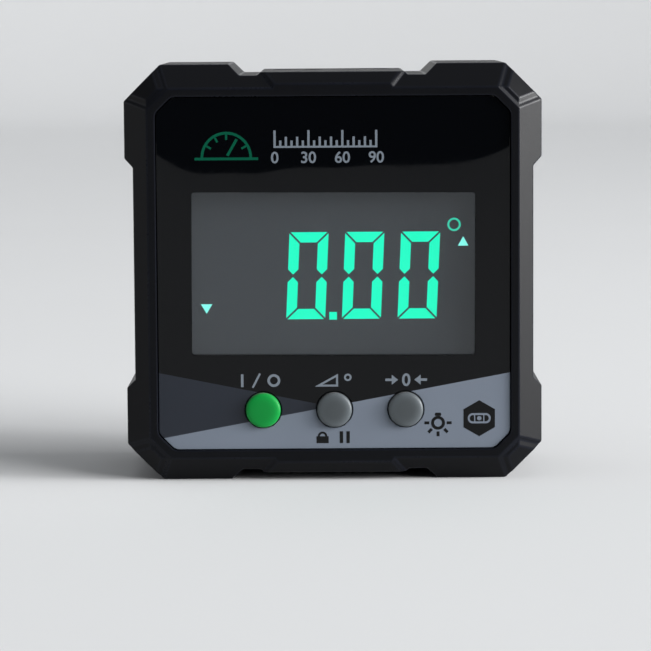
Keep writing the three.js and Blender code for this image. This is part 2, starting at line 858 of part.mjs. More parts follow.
// Assembly
const inclinometer = new THREE.Group();
inclinometer.name = 'inclinometer';
const box = new THREE.Group();
box.position.set(0, buttonProud - (rearFace + buttonProud) / 2, bodyHalf);
inclinometer.add(box);

function place(name, made, material, x = 0, y = 0, z = 0) {
  const geometry = made.isBufferGeometry ? made : geometryOf(made);
  const mesh = new THREE.Mesh(geometry, material);
  mesh.name = name;
  mesh.position.set(x, y, z);
  box.add(mesh);
  return mesh;
}

place('front_shell', frontShell(), blackPlastic);
place('rear_shell', rearShell(), blackPlastic);
const sealOuterHalf = cavityHalf + shellSealInset + shellSealWidth;
const sealInnerHalf = cavityHalf + shellSealInset;
place(
  'shell_seal',
  slab(sealShape(sealOuterHalf, sealInnerHalf), parting, parting + shellSealDepth),
  blackRubber,
);

place('display_lens', lens(), lensAcrylic);
place('lens_adhesive', adhesiveFrame(), adhesiveFilm);

const lcdHalf = { x: lcdWidth / 2, z: lcdHeight / 2 };
place(
  'lcd_glass',
  block([-lcdHalf.x, lcdHalf.x], [lcdFront, lcdBack], [-lcdHalf.z, lcdHalf.z]),
  displayGlass,
);
place(
  'lcd_frame',
  ringPlate(
    polygon(rectanglePoints(lcdFrameHalfX, lcdFrameHalfZ)),
    polygon(rectanglePoints(lcdHalf.x + lcdGap, lcdHalf.z + lcdGap)),
    wallBack,
    boardFront,
  ),
  framePlastic,
);
const connectorTop = connectorWidth + lcdGap - lcdHalf.z;
place(
  'lcd_connector',
  block(
    [connectorInset - lcdHalf.x, lcdHalf.x - connectorInset],
    [lcdBack, boardFront],
    [lcdGap - lcdHalf.z, connectorTop],
  ),
  connectorRubber,
);
const guideX = [lcdGap - lcdHalf.x, lcdHalf.x - ledWidth - lcdGap * 2];
const guideZ = [connectorTop + lcdGap, lcdHalf.z - lcdGap];
place('backlight_guide', block(guideX, [guideFront, guideBack], guideZ), guideAcrylic);
place('backlight_reflector', block(guideX, [guideBack, reflectorBack], guideZ), reflectorFilm);
[-1, 1].forEach((side, i) => {
  const middle = (guideZ[0] + guideZ[1] + side * ledSpacing) / 2;
  place(
    `backlight_led_${i + 1}`,
    block(
      [lcdHalf.x - ledWidth - lcdGap, lcdHalf.x - lcdGap],
      [guideFront + guideGap, boardFront],
      [middle - ledLength / 2, middle + ledLength / 2],
    ),
    ledResin,
  );
});

place('circuit_board', board(), boardLaminate);
function component(name, material, thickness, halfX, halfZ, x, z) {
  place(name, block([-halfX, halfX], [boardBack, boardBack + thickness], [-halfZ, halfZ]), material, x, 0, z);
}
component('microcontroller', chipResin, chipThickness, chipSize / 2, chipSize / 2, chipX, chipZ);
component('tilt_sensor', sensorLid, sensorThickness, sensorSize / 2, sensorSize / 2, sensorX, sensorZ);
component(
  'clock_crystal',
  crystalCan,
  crystalThickness,
  crystalLength / 2,
  crystalWidth / 2,
  crystalX,
  crystalZ,
);

const buttons = [
  ['power', -buttonPitch, greenPlastic],
  ['hold', 0, greyPlastic],
  ['zero', buttonPitch, greyPlastic],
];
for (const [name, x, material] of buttons) {
  place(`${name}_button`, buttonCap(), material, x, 0, buttonZ);
  place(`${name}_plunger`, plunger(), plungerPlastic, x, 0, buttonZ);
  place(`${name}_switch`, switchBody(), switchPlastic, x, 0, buttonZ);
}
place('button_seal', buttonSeal(), sealRubber, 0, 0, buttonZ);

// The upper cell's nub points right and the lower one's left, so that the link plate joins them
const cellEnd = compartmentHalfLength - contactThickness;
place('battery_cell_1', cell(), cellSleeve, cellEnd - cellLength, cellDepth, cellOffset);
const lowerCell = place('battery_cell_2', cell(), cellSleeve, cellLength - cellEnd, cellDepth, -cellOffset);
lowerCell.rotation.set(0, Math.PI, 0);
const negative = place('contact_negative', contactWithTab(), nickel, -compartmentHalfLength, 0, cellOffset);
const positive = place('contact_positive', contactWithTab(), nickel, -compartmentHalfLength, 0, -cellOffset);
place('contact_link', contactPlate(cellOffset + contactWidth / 2), nickel, cellEnd, 0, 0);
place('cell_spring_1', spring(), nickel, -cellEnd, cellDepth, cellOffset);
place('cell_spring_2', spring(), nickel, cellEnd, cellDepth, -cellOffset).rotation.set(0, Math.PI, 0);
place('lead_negative', lead(), blackLead, 0, 0, negative.position.z);
place('lead_positive', lead(), redLead, 0, 0, positive.position.z);

for (const { name, edge, along, level } of magnetPlaces) {
  const outer = level - magnetSink;
  place(name, edgeRod(edge, along, magnetDiameter / 2, outer, outer - magnetThickness), nickel);
}

const shellScrew = () =>
  screw(shellScrewRadius, shellScrewLength, shellScrewHeadRadius, shellScrewHeadHeight);
const boardScrew = () =>
  screw(boardScrewRadius, boardScrewLength, boardScrewHeadRadius, boardScrewHeadHeight);
const coverScrew = () =>
  screw(coverScrewRadius, coverScrewLength, coverScrewHeadRadius, coverScrewHeadHeight);
fourWays(bossOffset, bossOffset).forEach(([x, z], i) =>
  place(`shell_screw_${i + 1}`, shellScrew(), screwSteel, x, shellScrewSeat, z),
);
fourWays(boardPostX, boardPostZ).forEach(([x, z], i) =>
  place(`board_screw_${i + 1}`, boardScrew(), screwSteel, x, boardBack, z),
);

place('battery_cover', batteryCover(), blackPlastic);
place('cover_seal', coverSeal(), sealRubber);
[-coverScrewZ, coverScrewZ].forEach((z, i) =>
  place(`cover_screw_${i + 1}`, coverScrew(), screwSteel, 0, coverInner + coverScrewSeat, z),
);

export default inclinometer;
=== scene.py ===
"""Dresses the packed inclinometer: a square gauge box with bumper corners and a lit display.

Everything is in metres, in the frame of the packed model: +X is right, +Y is back and +Z is up.
Flat drawings, such as the marks on the lens, are made in millimetres on a drawing plane whose X is
right and whose Y is up, measured from the middle of the box. They are then stood up in the frame.
"""

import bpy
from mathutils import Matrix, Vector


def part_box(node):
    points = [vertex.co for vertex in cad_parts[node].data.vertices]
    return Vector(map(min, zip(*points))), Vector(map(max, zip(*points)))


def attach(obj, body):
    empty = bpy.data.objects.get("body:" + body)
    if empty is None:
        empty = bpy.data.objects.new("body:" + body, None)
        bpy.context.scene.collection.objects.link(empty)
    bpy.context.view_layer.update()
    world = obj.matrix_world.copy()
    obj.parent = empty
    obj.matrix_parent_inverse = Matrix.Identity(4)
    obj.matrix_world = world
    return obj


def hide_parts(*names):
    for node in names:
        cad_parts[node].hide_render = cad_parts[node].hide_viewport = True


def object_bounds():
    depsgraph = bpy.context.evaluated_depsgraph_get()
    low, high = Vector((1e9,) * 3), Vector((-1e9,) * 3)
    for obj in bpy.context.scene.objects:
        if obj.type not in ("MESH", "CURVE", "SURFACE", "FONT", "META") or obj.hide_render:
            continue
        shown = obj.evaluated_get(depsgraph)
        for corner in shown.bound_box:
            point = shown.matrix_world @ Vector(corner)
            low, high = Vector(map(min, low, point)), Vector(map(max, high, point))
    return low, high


bl_info = {
    "name": "Digital inclinometer",
    "version": (1, 0, 0),
    "blender": (4, 5, 0),
    "location": "3D View > Sidebar > Inclinometer",
    "description": "Builds the shells, lens, display, keys and cells of a digital inclinometer",
    "category": "Add Mesh",
}

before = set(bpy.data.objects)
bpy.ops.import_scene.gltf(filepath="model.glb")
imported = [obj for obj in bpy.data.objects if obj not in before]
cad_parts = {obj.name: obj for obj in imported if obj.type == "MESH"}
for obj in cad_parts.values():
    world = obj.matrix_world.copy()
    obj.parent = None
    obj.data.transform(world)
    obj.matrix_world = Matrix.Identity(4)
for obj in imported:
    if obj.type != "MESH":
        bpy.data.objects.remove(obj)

import functools
import math

import bmesh
import bpy
from bpy.props import FloatProperty, FloatVectorProperty, PointerProperty
from bpy.types import Operator, Panel, PropertyGroup
from mathutils import Matrix, Vector

CAD_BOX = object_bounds()
MM = 0.001

# Where the shells, the lens and the display are, from which the rest is measured
BOX_LOW, BOX_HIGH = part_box("front_shell")
MIDDLE = (BOX_LOW + BOX_HIGH) / 2
RIM = BOX_LOW.y
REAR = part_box("rear_shell")[1].y
LENS_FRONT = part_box("display_lens")[0].y
DISPLAY_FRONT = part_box("lcd_glass")[0].y

# Mesh limits: points closer than MERGE are one point, faces that turn less than FLAT are one face,
# and edges sharper than CREASE stay crisp. NEAR is how close a face must be to a depth to lie at it
MERGE = 0.002 * MM
FLAT = math.radians(0.6)
CREASE = math.radians(26)
NEAR = 0.02 * MM
FULL_TURN = 2 * math.pi
ROUND_STEPS = 64
SMALL_STEPS = 32
CROWN_STEPS = 14


def linear(value):
    """An sRGB hex colour as the linear colour that shaders take."""
    channels = [int(value[i : i + 2], 16) / 255 for i in (1, 3, 5)]
    return tuple(c / 12.92 if c <= 0.04045 else ((c + 0.055) / 1.055) ** 2.4 for c in channels) + (1.0,)


def amount(name, about, value, **more):
    """A property that is a number."""
    return FloatProperty(name=name, description=about, default=value, **more)


def length(name, about, millimetres):
    """A length property, given in millimetres."""
    return amount(name, about, millimetres * MM, unit="LENGTH", precision=5)


def turn(name, about, degrees):
    """An angle property, given in degrees."""
    return amount(name, about, math.radians(degrees), unit="ROTATION")


def tint(name, about, value):
    """A colour property, given as an sRGB hex value."""
    return FloatVectorProperty(
        name=name, description=about, default=linear(value), subtype="COLOR", size=4, min=0, max=1
    )


class HousingLook(PropertyGroup):
    """Sizes and colours of the two shells, their screws and the battery cover."""

    edge: length("Edge", "Width of the rounding along the outer edges of the shells", 0.2)
    cover_edge: length("Cover edge", "Width of the rounding round the battery cover", 0.3)
    fine_edge: length("Fine edge", "Width of the rounding on small parts", 0.08)
    grain: length("Grain", "Size of the spark-eroded grain on the shells", 0.32)
    relief: length("Relief", "Depth of that grain", 0.006)
    plastic: tint("Plastic", "Black of the moulded shells", "#06070b")
    cover_plastic: tint("Cover plastic", "Black of the battery cover", "#0d0e11")
    steel: tint("Screw steel", "Zinc plating of the screws", "#8d8f93")
    thread: length("Thread", "Pitch of the screw threads", 0.45)


class LensLook(PropertyGroup):
    """Sizes and colours of the display lens and the print under its gloss."""

    polish: length("Polished edge", "Width of the polished edge round the lens", 0.1)
    hole_polish: length("Hole edge", "Width of the polished edge round each key hole", 0.1)
    window_left: length("Window left", "Left edge of the clear window", -21.11)
    window_right: length("Window right", "Right edge of the clear window", 21.0)
    window_top: length("Window top", "Top edge of the clear window", 12.04)
    window_bottom: length("Window bottom", "Bottom edge of the clear window", -12.2)
    window_corner: length("Window corner", "Radius of the window's corners", 0.5)
    window_turn: turn("Window turn", "Turn of the window in its print", -0.34)
    ink: length("Ink", "Thickness of a layer of ink", 0.02)
    black: tint("Black", "Black print of the lens", "#040507")
    slate: tint("Slate", "Dark wedge at the lower left", "#22262e")
    pale: tint("Pale", "Pale panel below the keys", "#6a727e")
    grey_mark: tint("Grey marks", "Marks and numbers on the black print", "#6c747d")
    green_mark: tint("Green mark", "Protractor mark on the black print", "#0a4c38")
    dark_mark: tint("Dark marks", "Marks on the pale panel", "#050607")


class DisplayLook(PropertyGroup):
    """Sizes and colours of the display behind the lens."""

    digit_left: length("First digit", "Left foot of the first digit", -7.26)
    digit_bottom: length("Digit foot", "Bottom of the digits", -7.11)
    digit_width: length("Digit width", "Width of a digit", 6.08)
    digit_height: length("Digit height", "Height of a digit", 13.26)
    digit_pitch: length("Digit pitch", "Distance from one digit to the next", 8.3)
    stroke: length("Stroke", "Width of a display segment", 1.8)
    gap: length("Gap", "Gap between display segments", 0.26)
    lean: amount("Lean", "Sideways lean of the digits", 0.0455)
    film: tint("Film", "Dark film of the display", "#35393d")
    lit: tint("Lit", "Lit display segments", "#10f8c5")
    lit_ring: tint("Lit ring", "Lit ring of the display", "#33cdab")
    lit_pale: tint("Lit pale", "Lit arrows of the display", "#88fdee")


class KeyLook(PropertyGroup):
    """Sizes and colours of the three keys and their switches."""

    radius: length("Radius", "Radius of a key", 2.58)
    crown: length("Crown", "Rise of a key's crowned face to its middle", 0.75)
    fullness: amount("Fullness", "How flat the crown is in its middle", 3.6)
    # Where the painted rim light on a key's face begins and where it is fullest, as shares of the radius
    rim_light_start: amount("Rim start", "Share of the radius where a key starts to grow paler", 0.4)
    rim_light_full: amount("Rim full", "Share of the radius where a key is palest", 0.85)
    flange: length("Flange", "Thickness of the flange behind the wall", 0.8)
    post: length("Post", "Radius of the post on the switch", 1.0)
    green: tint("Green", "Power key", "#007a30")
    grey: tint("Grey", "Hold and zero keys", "#3e4346")


class PowerLook(PropertyGroup):
    """Sizes and colours of the cells, springs, contacts and magnets."""

    sleeve_band: length("Band", "Length of the pale band at the positive end of a cell", 9.5)
    wire: length("Wire", "Diameter of the spring wire", 0.6)
    wide: length("Wide coil", "Radius of the spring at its contact", 3.4)
    narrow: length("Narrow coil", "Radius of the spring at the cell", 2.2)
    turns: amount("Turns", "Turns of a cell spring", 3.25)
    magnet_edge: length("Magnet edge", "Width of the chamfer round a magnet", 0.28)
    sleeve: tint("Sleeve", "Sleeve of the cells", "#23487f")
    band: tint("Band", "Band on the sleeve", "#b9bec4")
    nickel: tint("Nickel", "Nickel plating of magnets, contacts and cell caps", "#bdb9ae")


class StageLook(PropertyGroup):
    """Camera, lamps and floor."""

    camera_x: length("Camera X", "Camera place, right", -0.706)
    camera_y: length("Camera Y", "Camera place, back", -473.618)
    camera_z: length("Camera Z", "Camera place, up", 68.606)
    pitch: turn("Pitch", "Upward tilt", -5.65)
    yaw: turn("Yaw", "Turn to the left", 0.07)
    roll: turn("Roll", "Roll of the camera", -0.38)
    focal: amount("Focal length", "Focal length", 171.5, unit="CAMERA")
    floor_front: length("Floor front", "Reach of the floor in front of the tool", 960)
    floor_back: length("Floor back", "Reach of the floor behind the tool", 1500)
    floor_side: length("Floor side", "Reach of the floor to each side", 3000)
    sweep: length("Sweep", "Radius of the bend from the floor up to the backdrop", 500)
    backdrop: length("Backdrop", "Height of the backdrop above the bend", 1200)
    floor: tint("Floor", "Pale floor and backdrop", "#d9dadb")
    walls: tint("Walls", "Dim walls of the studio", "#2b2c2e")
    ceiling: tint("Ceiling", "Pale ceiling of the studio", "#bcbec0")
    daylight: amount("Daylight", "Strength of the soft light", 2.9)
    softness: turn("Softness", "Spread of the soft light", 40)


def add(tree, kind, links=None, **settings):
    """Adds a shader node and returns its outputs. Each link gives an input a value or an output."""
    node = tree.nodes.new("ShaderNode" + kind)
    for name, value in settings.items():
        setattr(node, name, value)
    for socket, source in (links or {}).items():
        if isinstance(source, bpy.types.NodeSocket):
            tree.links.new(source, node.inputs[socket])
        else:
            node.inputs[socket].default_value = source
    return node.outputs


def begun(name):
    """A new material, what adds nodes to its empty tree, and its Object coordinates."""
    made = bpy.data.materials.new(name)
    made.use_nodes = True
    made.node_tree.nodes.clear()
    node = functools.partial(add, made.node_tree)
    return made, node, node("TexCoord")["Object"]


def ended(made, node, kind, links):
    """Ends a material with its last shader."""
    node("OutputMaterial", {"Surface": node(kind, links)[0]})
    return made


def scaled(colour, factor):
    return tuple(min(1.0, channel * factor) for channel in colour[:3]) + (1.0,)


def dulled(node, place, colour, spread, span):
    """The colour, drifting slightly up and down over a span in metres."""
    drift = node("TexNoise", {"Vector": place, "Scale": 1 / span, "Detail": 3.0})[0]
    shades = {6: scaled(colour, 1 - spread), 7: scaled(colour, 1 + spread)}
    return node("Mix", {0: drift, **shades}, data_type="RGBA")[2]


@functools.cache
def moulded(name, colour, roughness, grain, relief, shine=0.5, spread=0.12, wear_and_light_gain=2.2, sheen=0.0):
    """Moulded plastic or rubber: a fine even grain from its mould, and marked edges painted paler and
    smoother: partly wear, which the eye reads as a used tool, and partly a painted highlight along the
    edges. On keys the same layer carries a painted rim light. Sheen is the pale bloom of rubber at its
    rim."""
    made, node, place = begun(name)
    grains = node("TexNoise", {"Vector": place, "Scale": 1 / grain, "Detail": 2.0})[0]
    wear_and_light = node("Attribute", attribute_name="wear_and_light")["Fac"]
    patches = node("TexNoise", {"Vector": place, "Scale": 1 / (6 * MM), "Detail": 4.0})[0]
    wear_and_light_share = node("Math", {0: wear_and_light, 1: patches}, operation="MULTIPLY")[0]
    fresh = dulled(node, place, colour, spread, 14 * MM)
    # Marked faces go paler: worn edges, and also painted highlights on the shells' edges and painted rim
    # light on the keys
    paler = node("Mix", {0: wear_and_light_share, 6: fresh, 7: scaled(colour, wear_and_light_gain)}, data_type="RGBA")[2]
    ends = {"To Min": roughness - 0.07, "To Max": roughness + 0.07}
    rough = node("MapRange", {"Value": grains, **ends})[0]
    surface = {
        "Base Color": paler,
        "Roughness": node("Math", {0: wear_and_light_share, 1: -0.2, 2: rough}, operation="MULTIPLY_ADD")[0],
        "Specular IOR Level": shine,
        "Sheen Weight": sheen,
        "Normal": node("Bump", {"Height": grains, "Distance": relief, "Strength": 1.0})[0],
    }
    return ended(made, node, "BsdfPrincipled", surface)


@functools.cache
def plated(name, colour, roughness, span=0.5 * MM):
    """Plated or drawn metal: bright, with fine scuffs that break up its mirror image."""
    made, node, place = begun(name)
    scuffs = node("TexNoise", {"Vector": place, "Scale": 1 / span, "Detail": 4.0})[0]
    ends = {"To Min": roughness - 0.08, "To Max": roughness + 0.12}
    surface = {
        "Base Color": dulled(node, place, colour, 0.1, 3 * MM),
        "Metallic": 1.0,
        "Roughness": node("MapRange", {"Value": scuffs, **ends})[0],
        "Normal": node("Bump", {"Height": scuffs, "Distance": 0.002 * MM, "Strength": 0.6})[0],
    }
    return ended(made, node, "BsdfPrincipled", surface)


@functools.cache
def glossy_print(name, colour):
    """Ink screened on the back of a cast acrylic lens: an even colour under a mirror gloss that is
    never quite flat, so that edges in its reflection waver and lift where the tape pulls its sides
    back, with a trace of wiping marks."""
    made, node, place = begun(name)
    side, pull = 25.5 * MM, 2.7
    middle = (-MIDDLE.x / side, 0, -MIDDLE.z / side)
    across = node("Mapping", {"Vector": place, "Location": middle, "Scale": (1 / side,) * 3})[0]
    across = node("SeparateXYZ", {0: across})
    sides = node("Math", {0: across["X"], 1: 8.0}, operation="POWER")[0]
    bow = node("Math", {0: sides, 1: across["Z"]}, operation="MULTIPLY")[0]
    peel = node("TexNoise", {"Vector": place, "Scale": 1 / (16 * MM), "Detail": 1.0})[0]
    height = node("Math", {0: bow, 1: pull, 2: peel}, operation="MULTIPLY_ADD")[0]
    wiped = node("TexNoise", {"Vector": place, "Scale": 1 / (0.8 * MM), "Detail": 5.0})[0]
    surface = {
        "Base Color": dulled(node, place, colour, 0.05, 9 * MM),
        "Roughness": node("MapRange", {"Value": wiped, "To Min": 0.0, "To Max": 0.03})[0],
        "Specular IOR Level": 0.2,
        "Normal": node("Bump", {"Height": height, "Distance": 0.04 * MM, "Strength": 1.0})[0],
    }
    return ended(made, node, "BsdfPrincipled", surface)


def clear_acrylic(name, colour, roughness=0.0, index=1.49):
    """Clear acrylic, cast or moulded, or coated against glare, which lowers its index for the eye.
    Shadow rays pass, so that lamps light what lies behind it."""
    made, node, place = begun(name)
    peel = node("TexNoise", {"Vector": place, "Scale": 1 / (16 * MM), "Detail": 1.0})[0]
    surface = {
        "Base Color": colour,
        "Roughness": roughness,
        "IOR": index,
        "Transmission Weight": 1.0,
        "Normal": node("Bump", {"Height": peel, "Distance": 0.01 * MM, "Strength": 1.0})[0],
    }
    glass = node("BsdfPrincipled", surface)[0]
    passed = node("BsdfTransparent", {"Color": colour})[0]
    shadow = node("LightPath")["Is Shadow Ray"]
    return ended(made, node, "MixShader", {0: shadow, 1: glass, 2: passed})


def display_film(name, colour, glow):
    """Polarising film on display glass: a dark neutral sheet with an even glow behind it and a
    barely seen weave of electrodes."""
    made, node, place = begun(name)
    weave = {
        "Vector": node("Mapping", {"Vector": place, "Rotation": (math.pi / 2, 0, 0)})[0],
        "Color1": scaled(colour, 0.98),
        "Color2": scaled(colour, 1.02),
        "Mortar": scaled(colour, 0.96),
        "Scale": 1 / (1.1 * MM),
        "Mortar Size": 0.03,
    }
    surface = {
        "Base Color": scaled(colour, 0.4),
        "Roughness": 0.35,
        "Specular IOR Level": 0.1,
        "Emission Color": node("TexBrick", weave, offset=0.0)[0],
        "Emission Strength": glow,
    }
    return ended(made, node, "BsdfPrincipled", surface)


def lit_segment(name, colour):
    """A lit display segment: backlight through clear cells, slightly uneven from edge to edge."""
    made, node, place = begun(name)
    surface = {
        "Base Color": scaled(colour, 0.05),
        "Roughness": 0.4,
        "Specular IOR Level": 0.0,
        "Emission Color": dulled(node, place, colour, 0.04, 6 * MM),
        "Emission Strength": 1.0,
    }
    return ended(made, node, "BsdfPrincipled", surface)


def laminate(name, mask, copper):
    """Glass-epoxy board under solder mask: the copper shows through as slightly paler tracks."""
    made, node, place = begun(name)
    bricks = {
        "Vector": node("Mapping", {"Vector": place, "Rotation": (math.pi / 2, 0, 0)})[0],
        "Color1": mask,
        "Color2": scaled(mask, 0.85),
        "Mortar": copper,
        "Scale": 1 / (6 * MM),
        "Mortar Size": 0.035,
        "Brick Width": 0.7,
        "Row Height": 0.3,
    }
    tracks = node("TexBrick", bricks)
    bump = node("Bump", {"Height": tracks[1], "Distance": 0.03 * MM, "Strength": 0.7})[0]
    surface = {"Base Color": tracks[0], "Roughness": 0.38, "Normal": bump}
    return ended(made, node, "BsdfPrincipled", surface)


def striped(name, dark, pale, pitch):
    """Layered silicone strip: thin conducting layers between insulating ones."""
    made, node, place = begun(name)
    waves = {"Vector": place, "Scale": 1 / (pitch * 20), "Distortion": 0.0}
    bands = node("TexWave", waves, bands_direction="X")[1]
    mixed = node("Mix", {0: bands, 6: dark, 7: pale}, data_type="RGBA")[2]
    return ended(made, node, "BsdfPrincipled", {"Base Color": mixed, "Roughness": 0.7})


def matt_paper(name, colour):
    """Matt background paper, without any gloss, or any pattern that would show at this distance."""
    made, node, place = begun(name)
    shade = dulled(node, place, colour, 0.01, 120 * MM)
    surface = {"Base Color": shade, "Roughness": 1.0, "Specular IOR Level": 0.0}
    return ended(made, node, "BsdfPrincipled", surface)


def in_scene(name, data):
    """A new object in the scene."""
    made = bpy.data.objects.new(name, data)
    bpy.context.scene.collection.objects.link(made)
    return made


def as_mesh(bm, name):
    mesh = bpy.data.meshes.new(name)
    bm.to_mesh(mesh)
    bm.free()
    return mesh


def from_curve(name, curve):
    """A curve's or text's shape as a mesh."""
    stencil = in_scene(name, curve)
    seen = stencil.evaluated_get(bpy.context.evaluated_depsgraph_get())
    mesh = bpy.data.meshes.new_from_object(seen)
    bpy.data.objects.remove(stencil)
    return mesh


def points_of(items):
    return [item for item in items if isinstance(item, bmesh.types.BMVert)]


def copied(node):
    """A packed node as a tidy mesh: its loose triangles are merged and its flat faces made whole. Corners
    have a layer that marks worn edges and painted light, which moulded finishes paint paler."""
    bm = bmesh.new()
    bm.from_mesh(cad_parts[node].data)
    for layer in list(bm.loops.layers.uv.values()):
        bm.loops.layers.uv.remove(layer)
    bm.loops.layers.float.new("wear_and_light")
    bmesh.ops.remove_doubles(bm, verts=bm.verts, dist=MERGE)
    bmesh.ops.dissolve_limit(bm, angle_limit=FLAT, verts=bm.verts, edges=bm.edges)
    bm.normal_update()
    return bm


def soften(bm, width, wanted=lambda edge: True, segments=2, crease=CREASE):
    """Rounds the sharp edges that are wanted, and marks them in the layer that moulded finishes paint
    paler: edge wear, and on the shells also a painted highlight.
    """
    wear_and_light = bm.loops.layers.float.get("wear_and_light") or bm.loops.layers.float.new("wear_and_light")
    edges = [e for e in bm.edges if e.is_manifold and e.calc_face_angle() > crease and wanted(e)]
    made = bmesh.ops.bevel(
        bm,
        geom=edges,
        offset=width,
        offset_type="OFFSET",
        segments=segments,
        profile=0.5,
        affect="EDGES",
        clamp_overlap=False,
        material=-1,
        loop_slide=True,
    )
    for face in made["faces"]:
        for loop in face.loops:
            loop[wear_and_light] = 1.0
    bm.normal_update()
    return bm


def turned(profile, steps=ROUND_STEPS):
    """Spins a profile of radius and depth pairs about the depth axis."""
    bm = bmesh.new()
    verts = [bm.verts.new((radius, depth, 0)) for radius, depth in profile]
    edges = [bm.edges.new(pair) for pair in zip(verts, verts[1:])]
    whole = {"angle": FULL_TURN, "steps": steps, "use_merge": True}
    bmesh.ops.spin(bm, geom=verts + edges, cent=(0, 0, 0), axis=(0, 1, 0), **whole)
    bmesh.ops.remove_doubles(bm, verts=bm.verts, dist=MERGE)
    bmesh.ops.recalc_face_normals(bm, faces=bm.faces)
    return bm


def placed(bm, place, rotation=None):
    matrix = Matrix.Translation(place) @ (rotation.to_4x4() if rotation else Matrix.Identity(4))
    bmesh.ops.transform(bm, matrix=matrix, verts=bm.verts)
    return bm


def made_piece(bm, name, materials, replaces=(), body="case", crease=CREASE):
    """Ends a mesh as a piece that rides on a body, with soft shading between its creases."""
    for face in bm.faces:
        face.smooth = True
    for edge in bm.edges:
        edge.smooth = edge.is_manifold and edge.calc_face_angle() < crease
    piece = in_scene(name, as_mesh(bm, name))
    for material in materials:
        piece.data.materials.append(material)
    even = piece.modifiers.new("Even shading", "WEIGHTED_NORMAL")
    even.keep_sharp = True
    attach(piece, body)
    if replaces:
        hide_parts(*replaces)
    return piece


def softened_node(node, name, material, width, body="case"):
    """A packed node with its edges rounded and a finish of its own."""
    return made_piece(soften(copied(node), width), name, [material], [node], body)


def split(bm, faces, point, normal):
    """Cuts only these faces along a plane."""
    edges = {edge for face in faces for edge in face.edges}
    verts = {vert for face in faces for vert in face.verts}
    geom = list(faces) + list(edges) + list(verts)
    bmesh.ops.bisect_plane(bm, geom=geom, dist=MERGE / 10, plane_co=point, plane_no=normal)
    bm.normal_update()


def tapping_screw(node, shank, head_height, look, body="case"):
    """A screw that lies along the depth, with its head at the back: thread, pan head and cross."""
    low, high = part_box(node)
    head = (high.x - low.x) / 2
    long = high.y - low.y
    neck = long - head_height
    profile = [(0, 0), (shank / 2, 0)]
    for ridge in range(int((neck - shank) / look.thread)):
        along = shank + ridge * look.thread
        profile += [(shank * 0.8, along), (shank, along + look.thread / 2)]
    profile += [(shank, neck), (head, neck), (head, long)]
    bm = turned(profile, SMALL_STEPS)
    bmesh.ops.holes_fill(bm, edges=[e for e in bm.edges if e.is_boundary], sides=0)
    bmesh.ops.recalc_face_normals(bm, faces=bm.faces)
    soften(bm, head_height * 0.45, lambda e: all(v.co.y > long - NEAR for v in e.verts), 4)
    wing, reach, sunk = head * 0.14, head * 0.5, head_height * 0.5

    def top():
        return [f for f in bm.faces if f.normal.y > 0.99 and f.calc_center_median().y > long - NEAR]

    def in_cross(face):
        centre = face.calc_center_median()
        x, z = abs(centre.x), abs(centre.z)
        return min(x, z) < wing and max(x, z) < reach

    for direction in ((1, 0, 0), (0, 0, 1)):
        for offset in (-reach, -wing, wing, reach):
            split(bm, top(), Vector(direction) * offset + Vector((0, long, 0)), direction)
    cross = [face for face in top() if in_cross(face)]
    walls = {"thickness": wing * 0.35, "depth": -sunk, "use_even_offset": True, "use_boundary": True}
    bmesh.ops.inset_region(bm, faces=cross, **walls)
    placed(bm, Vector(((low.x + high.x) / 2, low.y, (low.z + high.z) / 2)))
    steel = plated("Zinc-plated steel, rolled", tuple(look.steel), 0.34)
    return made_piece(bm, f"{node}_steel", [steel], [node], body)


def flat(bm, points):
    """A flat face on the drawing plane."""
    face = bm.faces.new([bm.verts.new((x, y, 0)) for x, y in points])
    bm.normal_update()
    return face


def bar(bm, start, end, width):
    """A straight stroke with square ends on the drawing plane."""
    start, end = Vector(start).to_3d(), Vector(end).to_3d()
    run = end - start
    stroke = bmesh.ops.create_grid(bm, x_segments=1, y_segments=1, size=0.5)["verts"]
    lying = Matrix.Rotation(math.atan2(run.y, run.x), 4, "Z") @ Matrix.Diagonal((run.length, width, 1, 1))
    bmesh.ops.transform(bm, verts=stroke, matrix=Matrix.Translation((start + end) / 2) @ lying)


def arc(bm, centre, radius, width, start=0.0, sweep=FULL_TURN, steps=32):
    """A curved stroke on the drawing plane, from a start angle through a sweep."""
    out = Vector((math.cos(start), math.sin(start), 0))
    middle = Vector(centre).to_3d()
    ends = [bm.verts.new(middle + out * (radius + side * width / 2)) for side in (-1, 1)]
    geom = [*ends, bm.edges.new(ends)]
    whole = sweep >= FULL_TURN
    bmesh.ops.spin(
        bm, geom=geom, cent=middle, axis=(0, 0, 1), angle=sweep, steps=steps, use_merge=whole
    )


def outlined(bm, points, width):
    """A closed outline of even width, inside these points."""
    face = flat(bm, points)
    bmesh.ops.inset_region(bm, faces=[face], thickness=width, use_even_offset=True, use_boundary=True)
    bmesh.ops.delete(bm, geom=[face], context="FACES")


def numeral(bm, text, centre, height, weight):
    """Plain numbers in the built-in face, set to a height and centred on a point."""
    curve = bpy.data.curves.new("numeral", "FONT")
    curve.body = text
    curve.offset = weight
    shape = from_curve("numeral", curve)
    xs = [v.co.x for v in shape.vertices]
    ys = [v.co.y for v in shape.vertices]
    grown = Matrix.Scale(height / (max(ys) - min(ys)), 4)
    back = Vector((-(min(xs) + max(xs)) / 2, -(min(ys) + max(ys)) / 2, 0))
    shape.transform(Matrix.Translation(Vector(centre).to_3d()) @ grown @ Matrix.Translation(back))
    bm.from_mesh(shape)
    bpy.data.meshes.remove(shape)


